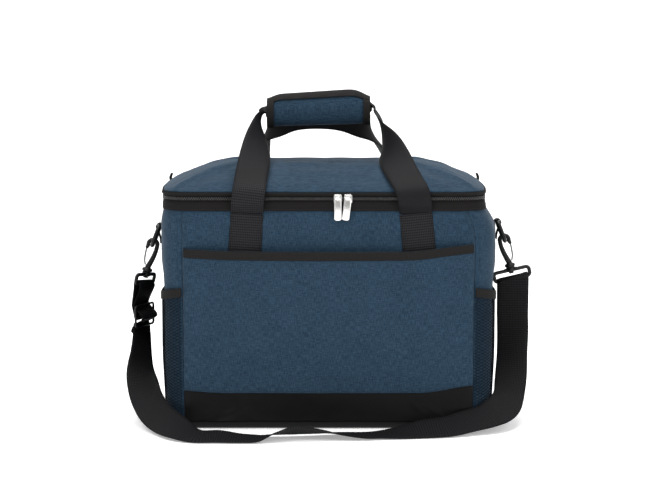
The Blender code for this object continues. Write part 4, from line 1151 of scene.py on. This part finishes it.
class COOLERBAG_OT_zip(BuildStep):
    """Two woven zip tapes, two rows of single teeth, the end tabs and the hinge strip."""

    bl_idname = "cooler_bag.zip"
    bl_label = "Zip"

    def teeth(self, name, low, high, shift):
        """Teeth along the outline: eight-cornered pods with a proud rounded head, at even steps."""
        pitch = self.sizes.tooth_pitch
        s = np.arange(-ZIP_RUN + pitch * (1 + shift), ZIP_RUN - pitch, pitch)
        mid = np.full_like(s, (low + high) / 2)
        centre = outline(s, mid, 0.0)
        out = unit(outline(s, mid, 0.01) - centre)
        ahead = np.cross((0.0, 0.0, 1.0), out)
        section = np.array(((-0.30, -0.0016), (-0.38, 0.0001), (-0.24, 0.0006), (0.24, 0.0006), (0.38, 0.0001),
                            (0.30, -0.0016)))
        tall = (high - low) / 2
        rings = [(-tall, 0.72), (-tall * 0.6, 1.0), (tall * 0.6, 1.0), (tall, 0.72)]
        points = np.stack([centre[:, None] + ahead[:, None] * (section[:, :1] * pitch * k)
                           + out[:, None] * (section[:, 1:] * (0.5 + 0.5 * k)) + np.array((0, 0, dz))
                           for dz, k in rings], axis=1)
        return tidy(put(name, points.reshape(-1, 3), pod_faces(len(s), 6), None, finish("teeth"), flat=True))

    def execute(self, context):
        """Build both halves of the zip and its ends."""
        tape = finish("zip_tape")
        back, width = GIRTH / 2, FLAT_X - 0.004
        reach = back - width - 0.0002
        s = edged(-reach, reach, 480)

        def low_relief(s, z):
            """Lower tape: its foot rolls in, with a fine wobble of its sewn edge."""
            t = (z - TAPE_LOW[0]) / (TAPE_LOW[1] - TAPE_LOW[0])
            wobble = 0.0003 * np.sin(s * 95) * t * (1 - t)
            return wobble + 0.0004 + 0.0004 * bell((t - 0.4) / 0.3) - 0.0018 * smooth((t - 0.72) / 0.2)

        def high_relief(s, z):
            """Upper tape: a rounded edge that stands out over the teeth."""
            t = (z - TAPE_HIGH[0]) / (TAPE_HIGH[1] - TAPE_HIGH[0])
            return 0.0014 * bell((t - 0.62) / 0.34) - 0.0010 * smooth((0.30 - t) / 0.2) + 0.0002 * np.sin(s * 88 + 1)

        body = panel("zip_tape_low", s, edged(*TAPE_LOW, 9, 0.0006), low_relief, CLOTH, tape)
        fit(body, "bag", "binding", "zip_tape_body")
        lid = panel("zip_tape_high", s, edged(*TAPE_HIGH, 9, 0.0005), high_relief, CLOTH, tape)
        fit(lid, "lid", "binding", "zip_tape_lid")
        fit(self.teeth("zip_teeth_low", TEETH_LOW[0], TEETH_LOW[1], 0.0), "bag", "plastic", "zip_teeth_body")
        fit(self.teeth("zip_teeth_high", TEETH_HIGH[0], TEETH_HIGH[1], 0.5), "lid", "plastic", "zip_teeth_lid")
        for name, z, body_name in (("zip_stitches_low", TAPE_LOW[0] + 0.0018, "bag"),
                                   ("zip_stitches_high", TAPE_HIGH[1] - 0.0014, "lid")):
            line = np.linspace(-ZIP_RUN + 0.004, ZIP_RUN - 0.004, 700)
            relief = low_relief if body_name == "bag" else high_relief
            height = np.full_like(line, z)
            path = outline(line, height, relief(line, height) + 0.00010)
            up = unit(outline(line, height, 0.01) - outline(line, height, 0.0))
            fit(stitches(name, [path], [up], finish("thread"), self.sizes.stitch_pitch), body_name, "binding")
        strip = panel("hinge_strip", edged(back - width, back + width, 150), edged(0.2500, TAPE_HIGH[1] - 0.001, 24),
                      lambda s, z: GAP + 0.0008 + 0.0012 * bell((z - 0.262) / 0.006) + 0.0002 * np.sin(s * 120),
                      0.0008, finish("binding"))
        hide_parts("lid_hinge_strip")
        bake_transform(strip)
        side_end = FLAT_X + ARC + 2 * FLAT_Y
        for side, start in (("right", side_end - 0.012), ("left", GIRTH - side_end)):
            tab = panel("zip_tab_" + side, edged(start, start + 0.012, 14), edged(TAPE_LOW[0] + 0.004, 0.283, 24),
                        lambda s, z: 0.0026 + 0.0022 * bell((z - 0.2775) / 0.0045), 0.0021, finish("binding"))
            fit(tab, "bag", "binding", "zip_end_tab_" + side)
        return {"FINISHED"}


class COOLERBAG_OT_sliders(BuildStep):
    """Two nickel zip sliders, each with a bridge and a slotted puller."""

    bl_idname = "cooler_bag.sliders"
    bl_label = "Sliders and pullers"

    def plate(self, name, half_a, half_b, radius, thickness, hole, material):
        """Flat plate in x-z with a rounded rim: rings of a rounded rectangle at growing depth, and a slot."""
        depth = thickness / 2
        levels = [(depth, 0.35), (depth * 0.8, 0.12), (depth * 0.35, 0.0), (-depth * 0.35, 0.0), (-depth * 0.8, 0.12),
                  (-depth, 0.35)]
        rings = []
        if hole:
            centre, ha, hb, hr = hole
            inner = rounded_loop(ha, hb, hr) + np.array((0, centre))
        for y, cut in levels:
            shrink = cut * depth * 2
            rings.append((rounded_loop(half_a - shrink, half_b - shrink, max(radius - shrink, 0.0002)), y))
        if hole:
            rings = rings + [(inner, -depth * 0.85), (inner, depth * 0.85)]
        points = np.stack([np.stack((loop[:, 0], np.full(len(loop), -y), loop[:, 1]), -1) for loop, y in rings])
        return grid(name, points, material, close_u=bool(hole), close_v=True, caps=not hole)

    def execute(self, context):
        """Build both sliders and both pullers."""
        nickel = finish("nickel")
        for side, x, lean in (("left", 0.0108, 0.0), ("right", 0.0226, math.radians(7))):
            face = -HALF_D - 0.0006 - GAP
            body = self.plate("slider_plate", 0.00475, 0.00525, 0.0022, 0.0018, None, nickel)
            self.place(body, (x, face - 0.0009, 0.2690), 0)
            turn = np.linspace(math.pi, 0, 19)
            arch = np.stack((np.full_like(turn, x), face - 0.0012 - 0.0016 * np.sin(turn),
                             0.2702 + 0.0034 * np.cos(turn)), 1)
            bridge = wire("slider_bridge", arch, (1, 0, 0), 0.0006, nickel, flat=2.2)
            crown = self.plate("slider_crown", 0.0030, 0.0013, 0.0010, 0.0012, None, nickel)
            self.place(crown, (x, face - 0.0020, 0.2731), 0)
            fit(join("slider_" + side, [body, bridge, crown]), "slider_" + side, "nickel", "zip_slider_" + side)
            tag = self.plate("puller_" + side, 0.00425, 0.0135, 0.0028, 0.0016, (0.0105, 0.0024, 0.0014, 0.0012),
                             nickel)
            self.place(tag, (0, 0, -0.0130), 0)
            self.place(tag, (x, face - 0.0018 - GAP - 0.0008, 0.2705), lean)
            edge = tag.modifiers.new("edge", "BEVEL")
            edge.width, edge.segments, edge.limit_method, edge.angle_limit = 0.00025, 2, "ANGLE", math.radians(35)
            fit(tag, "puller_" + side, "nickel", "zip_puller_" + side)
        return {"FINISHED"}

    def place(self, item, to, lean):
        """Turn about Y by lean, then move, in the mesh."""
        item.data.transform(Matrix.Translation(to) @ Matrix.Rotation(lean, 4, "Y"))
        tidy(item)


def lid_height(inset):
    """Lid's outer height at a distance in from its edge: rises 29 mm by 1 - (1 - t)^2.2, flat past 108 mm."""
    t = np.minimum(inset / (HALF_D * 0.9), 1.0)
    return LID_EDGE + LID_RISE * (1 - (1 - t) ** 2.2)


def lid_points(s, inset, below, lift=0.0):
    """The outline shrunk toward the middle by inset, at the lid's height less below plus lift."""
    edge = outline(s, 0.2709, 0)
    x = edge[..., 0] * (HALF_W - inset) / HALF_W
    y = edge[..., 1] * (HALF_D - inset) / HALF_D
    return np.stack((x, y, lid_height(inset) - below + lift), axis=-1)


class COOLERBAG_OT_lid(BuildStep):
    """Padded lid with soft hip ridges, its foam and its foil lining."""

    bl_idname = "cooler_bag.lid"
    bl_label = "Lid"

    def layer(self, name, start, below, thickness, material, relief, count=440, rows=70):
        """One closed dish of the lid: rings of the outline shrinking to the crest line."""
        s = np.linspace(0, GIRTH, count + 1)[:-1]
        inset = np.concatenate(([start, start + 0.0009], np.linspace(start + 0.002, HALF_D, rows)))
        s, inset = np.meshgrid(s, inset, indexing="ij")
        points = lid_points(s, inset, below, relief(s, inset))
        x, y = points[..., 0], points[..., 1]
        item = grid(name, points, material, uv=np.stack((x, y), axis=-1), close_u=True)
        tidy(item, merge=0.00004, outward=(0, 0, 0.1))
        return thicken(item, thickness)

    def execute(self, context):
        """Lay the outer cloth, the foam and the foil."""
        corner = FLAT_X + ARC / 2
        corners = (corner, GIRTH / 2 - corner, GIRTH / 2 + corner, GIRTH - corner)

        def relief(s, inset):
            """Hip ridges from the corners, dents beside them, a rolled edge and slow waves."""
            lift = 0.0010 * ripple(0.9 * s, 2.2 * inset, 1.0) * smooth(inset / 0.02) * smooth((0.112 - inset) / 0.03)
            width = 0.0035 + 0.14 * inset
            fade = smooth(inset / 0.010) * (1 - smooth((inset - 0.070) / 0.04))
            for middle in corners:
                d = s - middle
                lift = lift + (self.sizes.ridge * bell(d / width) - 0.0011 * bell((np.abs(d) - 0.020) / 0.010)) * fade
            return lift - 0.0010 * bell(inset / 0.0016) + 0.0006 * bell((inset - 0.012) / 0.006)

        cloth = self.layer("lid_cloth", 0.0005, 0, CLOTH, finish("blue_pad"), relief)
        fit(cloth, "lid", "blue_cloth", "lid_outer_panel")

        def board(s, inset):
            """The board follows a third of the cloth's unevenness."""
            return relief(s, inset) * 0.3 - 0.0006

        foam = self.layer("lid_board", 0.0026, CLOTH + GAP, FOAM, finish("foam"), board, 220, 30)
        fit(foam, "lid", "foam", "lid_foam")

        def crinkle(s, inset):
            """Foil: small sharp creases."""
            return -0.0006 + 0.0005 * np.abs(np.sin(s * 60 + 9 * np.sin(inset * 80))) * smooth(inset / 0.03)

        foil = self.layer("lid_foil", 0.0090, CLOTH + 1.2 * FOAM + 3 * GAP, 0.0008, finish("foil"), crinkle, 360, 60)
        fit(foil, "lid", "foil", "lid_liner")
        return {"FINISHED"}


class COOLERBAG_OT_lining(BuildStep):
    """Foam boards in the four walls and the base, and the crinkled foil tub inside them."""

    bl_idname = "cooler_bag.lining"
    bl_label = "Foam and foil lining"

    def execute(self, context):
        """Build the boards and the tub."""
        half, out, high, low = GIRTH / 2, -CLOTH - 0.0008, 0.2655, RIM_Z + GAP
        foam = finish("foam")

        def wave(s, z):
            """Boards are a little uneven."""
            return out + 0.0003 * ripple(3 * s, 3 * z, 4.0) - 0.0003

        start, stop = SEAM_S + 0.003, half - SEAM_S - 0.003
        for name, first, last in (("front", -SEAM_S, SEAM_S), ("right", start, stop),
                                  ("back", half - SEAM_S, half + SEAM_S), ("left", half + start, half + stop)):
            board = panel("board_" + name, edged(first, last, 60), edged(low, high, 30), wave, FOAM - 0.0004, foam)
            fit(board, "bag", "foam", "foam_" + name)
        s = np.linspace(0, GIRTH, 181)[:-1]
        rings = []
        for z, inset in ((0.0020, 0.03), (0.0020, 0.0006), (0.0030, 0.0), (0.0066, 0.0), (0.0076, 0.0006),
                         (0.0076, 0.03)):
            rings.append(outline(s, z, -0.0094 - inset))
        base = tidy(grid("board_base", np.stack(rings), foam, close_v=True, caps=True))
        fit(base, "bag", "foam", "foam_base")
        self.tub(out - FOAM - 0.0008, high)
        return {"FINISHED"}

    def tub(self, out, high):
        """Foil tub: down the walls, round the foot, then in to the middle, with sharp small creases."""
        s = np.linspace(0, GIRTH, 541)[:-1]
        floor, radius = 0.0081, 0.006
        wall_z = np.concatenate(([high, high - 0.001], np.linspace(high - 0.004, floor + radius, 90)))
        turn = np.radians(np.linspace(0, 90, 7))[1:]
        z = np.concatenate((wall_z, floor + radius * (1 - np.sin(turn))))
        inset = np.concatenate((np.zeros_like(wall_z), radius * (1 - np.cos(turn))))
        grid_s, grid_z = np.meshgrid(s, z, indexing="ij")
        upright = np.abs(np.sin(grid_s * 47 + 3 * np.sin(grid_z * 31)))
        level = np.abs(np.sin(grid_z * 39 + 2 * np.sin(grid_s * 23)))
        crease = 0.0010 * upright * level * smooth((high - grid_z) / 0.02)
        points = outline(grid_s, grid_z, out - inset[None] - crease)
        shrink = np.linspace(0.94, 0.02, 24)
        inner = points[:, -1:, :] * np.stack((shrink, shrink, np.ones_like(shrink)), -1)[None]
        wrinkle = 0.0008 * np.abs(np.sin(inner[..., 0] * 63 + 2 * np.sin(inner[..., 1] * 41)))
        inner[..., 2] = floor + wrinkle
        points = np.concatenate((points, inner), axis=1)
        item = grid("foil_tub", points, finish("foil"), close_u=True)
        shape = bmesh.new()
        shape.from_mesh(item.data)
        rim = [e for e in shape.edges if e.is_boundary and max(v.co.z for v in e.verts) < 0.02]
        bmesh.ops.contextual_create(shape, geom=rim)
        shape.to_mesh(item.data)
        shape.free()
        thicken(tidy(item, outward=(0, 0, 0.15)), 0.0006)
        fit(item, "bag", "foil", "inner_liner")


class COOLERBAG_OT_handles(BuildStep):
    """Sewn webbing on both faces and the free webbing of both carry handles, with their stitching."""

    bl_idname = "cooler_bag.handles"
    bl_label = "Handle webbing"

    def execute(self, context):
        """Build sewn lengths, free lengths and box stitching."""
        web, material = self.sizes.webbing, finish("webbing")
        threads, normals = [], []
        for name, y, foot, top in (("front_left", -SEWN_Y, -0.0975, -0.0936),
                                   ("front_right", -SEWN_Y, 0.1065, 0.1003),
                                   ("back_left", SEWN_Y, -0.0990, -0.0990),
                                   ("back_right", SEWN_Y, 0.0990, 0.0990)):
            low, high = (0.190, HANDLE_Z - GAP) if y < 0 else (0.030, 0.2490)
            t = np.linspace(0, 1, 60)
            nothing = np.zeros_like(t)
            rows = np.stack((foot + (top - foot) * t, nothing + y, low + (high - low) * t, nothing + 1, nothing,
                             nothing, nothing + STRAP_WIDTH), axis=1)
            item = ribbon("webbing_sewn_" + name, rows, web, material)
            fit(item, "bag", "webbing", "webbing_" + name)
            side = -1.0 if y < 0 else 1.0
            face = y + side * (web / 2 + 0.0001)
            begin = 0.216 if y < 0 else 0.036
            for shift in (-0.0165, 0.0165):
                z = np.linspace(begin, high - 0.003, 40)
                x = foot + (top - foot) * (z - low) / (high - low) + shift
                threads.append(np.stack((x, np.full_like(z, face), z), 1))
                normals.append(np.tile((0.0, side, 0.0), (40, 1)))
            for z0 in (high - 0.004, high - 0.030):
                x = np.linspace(-0.0165, 0.0165, 20) + foot + (top - foot) * (z0 - low) / (high - low)
                threads.append(np.stack((x, np.full_like(x, face), np.full_like(x, z0)), 1))
                normals.append(np.tile((0.0, side, 0.0), (20, 1)))
        seam = stitches("webbing_stitches", threads, normals, finish("thread"), self.sizes.stitch_pitch)
        fit(seam, "bag", "webbing")
        for name, stations, start in (("front", FRONT_HANDLE, -0.1214), ("back", BACK_HANDLE, 0.1226)):
            rows = route(stations, (len(stations) - 1) * 12 + 1)
            free = ribbon("webbing_free_" + name, rows, web, finish("webbing_free"),
                          lambda v, a: 0.0004 * np.square(a / 0.019) * np.sin(v * 17))
            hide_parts(name + "_handle_webbing")
            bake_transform(free)
        return {"FINISHED"}


def wrap_point(x, angle, wide, tall):
    """Oval section of the grip at x: angle 0 is the front and grows over the top."""
    t = (x - WRAP_LEFT) / (WRAP_RIGHT - WRAP_LEFT)
    middle = GRIP_Z + 0.0055 * t
    top = np.sin(angle)
    droop = 0.46 * np.square(smooth((t - 0.74) / 0.30)) + 0.24 * np.square(smooth((0.20 - t) / 0.22))
    grow = (0.94 + 0.08 * smooth(t)) * (1 - droop * smooth(top * 1.4))
    return np.stack(np.broadcast_arrays(x, -wide * np.cos(angle), middle + tall * grow * top), axis=-1)


class COOLERBAG_OT_grip(BuildStep):
    """Padded grip wrap round the front handle, blown up as cloth, and the binding that frames it."""

    bl_idname = "cooler_bag.grip"
    bl_label = "Grip wrap"

    def execute(self, context):
        """Build the pad, the binding and their stitches."""
        rows = np.concatenate(([0.0], np.linspace(0, 1, 60), [1.0]))
        x = WRAP_LEFT + 0.0006 + (WRAP_RIGHT - WRAP_LEFT - 0.0012) * rows
        angle = np.linspace(0, 2 * math.pi, 81)[:-1]
        t = rows[:, None]
        ends = 1 - 0.10 * (bell(t / 0.05) + bell((1 - t) / 0.05))
        points = wrap_point(x[:, None], angle[None], 0.0150 * ends, 0.0196 * ends)
        inner = wrap_point(x[::-1, None], angle[None], 0.0120, 0.0165)
        pad = tidy(grid("grip_pad", np.concatenate((points, inner)), finish("blue_pad"), close_u=True, close_v=True))
        puff(pad, 0.0016, 3.0, 0.0022)
        fit(pad, "front_handle", "blue_cloth", "grip_wrap_pad")
        self.binding()
        return {"FINISHED"}

    def binding(self):
        """Tape over the top edge and down both ends, folded at the corners."""
        edge = 0.0080
        u = np.concatenate((edged(WRAP_LEFT - 0.0004, WRAP_LEFT + edge, 9, 0.0006),
                            np.linspace(WRAP_LEFT + edge, WRAP_RIGHT - edge, 70)[1:-1],
                            edged(WRAP_RIGHT - edge, WRAP_RIGHT + 0.0004, 9, 0.0006)))
        top = np.radians(edged(42, 122, 34, 1.2))
        s, a = np.meshgrid(u, top, indexing="ij")
        lip = 1 + 0.018 * np.sin(s * 300) * bell((np.abs(a - math.radians(82)) - math.radians(38)) / 0.08)
        over = grid("grip_tape_top", wrap_point(s, a, 0.0174 * lip, 0.0219 * lip), finish("binding"),
                    uv=np.stack((s, a * 0.02), axis=-1))
        thicken(tidy(over, outward=(0, 0, GRIP_Z)), 0.0009)
        parts = [over]
        for low, high in ((WRAP_LEFT - 0.0004, WRAP_LEFT + edge), (WRAP_RIGHT - edge, WRAP_RIGHT + 0.0004)):
            s, a = np.meshgrid(edged(low, high, 9, 0.0006), np.radians(edged(-82, 44, 44, 1.2)), indexing="ij")
            end = grid("grip_tape_end", wrap_point(s, a, 0.0171, 0.0216), finish("binding"),
                       uv=np.stack((a * 0.02, s), axis=-1))
            parts.append(thicken(tidy(end, outward=((low + high) / 2, 0, GRIP_Z)), 0.0009))
        fit(join("grip_tape", parts), "front_handle", "binding", "grip_wrap_binding")
        x = np.linspace(WRAP_LEFT + 0.009, WRAP_RIGHT - 0.009, 80)
        top_line = wrap_point(x, np.full_like(x, math.radians(45)), 0.0176, 0.0221)
        lines, ups = [top_line], [unit(wrap_point(x, np.full_like(x, math.radians(45)), 0.03, 0.04) - top_line)]
        a = np.radians(np.linspace(-70, 40, 50))
        for at in (WRAP_LEFT + 0.0068, WRAP_RIGHT - 0.0068):
            line = wrap_point(np.full_like(a, at), a, 0.0173, 0.0218)
            lines.append(line)
            ups.append(unit(wrap_point(np.full_like(a, at), a, 0.03, 0.04) - line))
        thread = stitches("grip_stitches", lines, ups, finish("thread"), self.sizes.stitch_pitch)
        fit(thread, "front_handle", "binding")


class COOLERBAG_OT_clips(BuildStep):
    """Ring tabs, D-rings, swivel hooks with sprung gates, and the strap's rectangular rings."""

    bl_idname = "cooler_bag.clips"
    bl_label = "Clips and rings"

    def execute(self, context):
        """Build both sides' hardware."""
        for clip in (RIGHT, LEFT):
            self.tab(clip)
            self.rings(clip)
            self.hook(clip)
        return {"FINISHED"}

    def tab(self, clip):
        """Webbing folded over the D-ring's bar and sewn to the side."""
        x, turn, z = clip.sign, 0.0037, clip.bar[2]
        body = clip.bar[0] - x * turn
        stations = [(body - x * 0.0002, 0, z - 0.038), (body, 0, z - 0.020), (body, 0, z - 0.006)]
        stations += [(clip.bar[0] + x * turn * math.cos(a), 0, z + turn * math.sin(a))
                     for a in np.radians((180, 135, 90, 45, 0, -40))]
        stations += [(body + x * 0.0030, 0, z - 0.0125), (body + x * 0.0021, 0, z - 0.0200)]
        rows = route([(*p, 0, 1, 0, 0.0172) for p in stations], 73)
        item = ribbon("ring_loop_" + clip.side, rows, 0.0013, finish("webbing"))
        fit(item, "bag", "webbing", "ring_tab_" + clip.side)

    def rings(self, clip):
        """D-ring: a rounded rectangle of oval wire.  Strap ring: a flat rectangle with a swivel boss."""
        plastic = finish("plastic")
        loop = rounded_loop(0.0148, 0.0118, 0.0060, 10)
        path = clip.bar + clip.slant * (0.0118 - loop[:, 1:]) + np.array((0, 1, 0)) * loop[:, :1]
        ring = wire("hanging_ring_" + clip.side, path, np.cross(clip.slant, (0, 1, 0)), 0.0026, plastic, closed=True,
                    flat=0.95, sides=16)
        fit(ring, "clip_" + clip.side, "plastic", "d_ring_" + clip.side)
        middle = (-0.0375 - 0.0485) / 2
        loop = rounded_loop(0.0217, 0.0055, 0.0038, 8) + np.array((0, middle))
        bars = wire("strap_bars", clip.ring(loop), np.cross(clip.across, clip.v), 0.0023, plastic, closed=True,
                    flat=0.95, sides=16)
        boss = turned("boss", ((0.0022, -0.0338), (0.0046, -0.0338), (0.0052, -0.0344), (0.0052, -0.0386),
                               (0.0046, -0.0394), (0.0022, -0.0394)), clip.bow, clip.v, plastic)
        shoulder = [wire("shoulder", clip.ring([(k * 0.0036, -0.0366), (k * 0.0080, -0.0374), (k * 0.0120, -0.0376)]),
                         np.cross(clip.across, clip.v), np.array((0.0026, 0.0023, 0.0019)), plastic)
                    for k in (-1, 1)]
        item = join("strap_link_" + clip.side, [bars, boss, *shoulder])
        fit(item, "clip_" + clip.side, "plastic", "strap_ring_" + clip.side)

    def hook(self, clip):
        """Hook: a tapering spine with pressed ovals that curls over the ring, a flared foot and a wire gate."""
        plastic = finish("plastic")
        plane = np.cross(clip.u, clip.v)
        turn = np.radians(np.linspace(180, -14, 34))
        head = np.stack((0.0056 * np.cos(turn), 0.0056 * np.sin(turn)), 1)
        spine = route([(0.0000, -0.0280), (-0.0016, -0.0235), (-0.0040, -0.0150), (-0.0054, -0.0070)], 30)
        path = np.concatenate((spine, head, [(0.0061, -0.0046)]))
        size = np.concatenate((np.linspace(0.0035, 0.0027, 30), np.linspace(0.0026, 0.0024, 34), [0.0021]))
        body = wire("hook_curl", clip.hook(path), plane, size, plastic, sides=16)
        nub = wire("hook_nub", clip.hook([(0.0038, -0.0012), (0.0046, -0.0030), (0.0052, -0.0046)]), plane,
                   np.array((0.0012, 0.0014, 0.0012)), plastic)
        first, step = np.array(((-0.0046, -0.0130), (-0.0030, -0.0138))), np.array((0.0012, -0.0040))
        ribs = [wire("hook_rib", clip.hook(first + k * step), plane, 0.0008, plastic, flat=3.1) for k in range(3)]
        fit(join("hook_" + clip.side, [body, nub, *ribs]), "hook_" + clip.side, "plastic", "hook_body_" + clip.side)
        gate = clip.hook(route([(0.0040, -0.0254), (0.0058, -0.0200), (0.0064, -0.0120), (0.0063, -0.0056)], 24))
        item = wire("gate_" + clip.side, gate, plane, 0.0010, finish("wire"))
        fit(item, "gate_" + clip.side, "wire", "hook_gate_" + clip.side)
        pin = turned("swivel_" + clip.side,
                     ((0, -0.0288), (0.0034, -0.0288), (0.0052, -0.0296), (0.0062, -0.0306), (0.0064, -0.0322),
                      (0.0058, -0.0333), (0.0016, -0.0333), (0.0015, -0.0336), (0.0015, -0.0398), (0.0028, -0.0400),
                      (0.0030, -0.0404), (0.0030, -0.0412), (0.0026, -0.0416), (0, -0.0416)),
                     clip.bow, clip.v, plastic)
        fit(pin, "hook_" + clip.side, "plastic", "hook_pin_" + clip.side)


STEPS = (COOLERBAG_OT_stage, COOLERBAG_OT_strap, COOLERBAG_OT_shell, COOLERBAG_OT_front, COOLERBAG_OT_nets,
         COOLERBAG_OT_zip, COOLERBAG_OT_sliders, COOLERBAG_OT_lid, COOLERBAG_OT_lining, COOLERBAG_OT_handles,
         COOLERBAG_OT_grip, COOLERBAG_OT_clips)


class COOLERBAG_PT_panel(bpy.types.Panel):
    """Sidebar list of sizes, colours and building steps."""

    bl_idname = "COOLERBAG_PT_panel"
    bl_label = "Cooler Bag"
    bl_space_type = "VIEW_3D"
    bl_region_type = "UI"
    bl_category = "Cooler Bag"

    def draw(self, context):
        """Draw the settings and one button for each step."""
        for group in (context.scene.cooler_bag_sizes, context.scene.cooler_bag_colours):
            box = self.layout.box()
            for key in group.__annotations__:
                box.prop(group, key)
        for step in STEPS:
            self.layout.operator(step.bl_idname)


CLASSES = (CoolerBagSizes, CoolerBagColours, *STEPS, COOLERBAG_PT_panel)


def register():
    """Add the classes and the two settings groups."""
    for item in CLASSES:
        bpy.utils.register_class(item)
    bpy.types.Scene.cooler_bag_sizes = PointerProperty(type=CoolerBagSizes)
    bpy.types.Scene.cooler_bag_colours = PointerProperty(type=CoolerBagColours)


def unregister():
    """Take them away again."""
    del bpy.types.Scene.cooler_bag_colours
    del bpy.types.Scene.cooler_bag_sizes
    for item in reversed(CLASSES):
        bpy.utils.unregister_class(item)


def main():
    """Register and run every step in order."""
    register()
    for step in STEPS:
        group, name = step.bl_idname.split(".")
        getattr(getattr(bpy.ops, group), name)()
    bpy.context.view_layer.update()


if __name__ == "__main__":
    main()
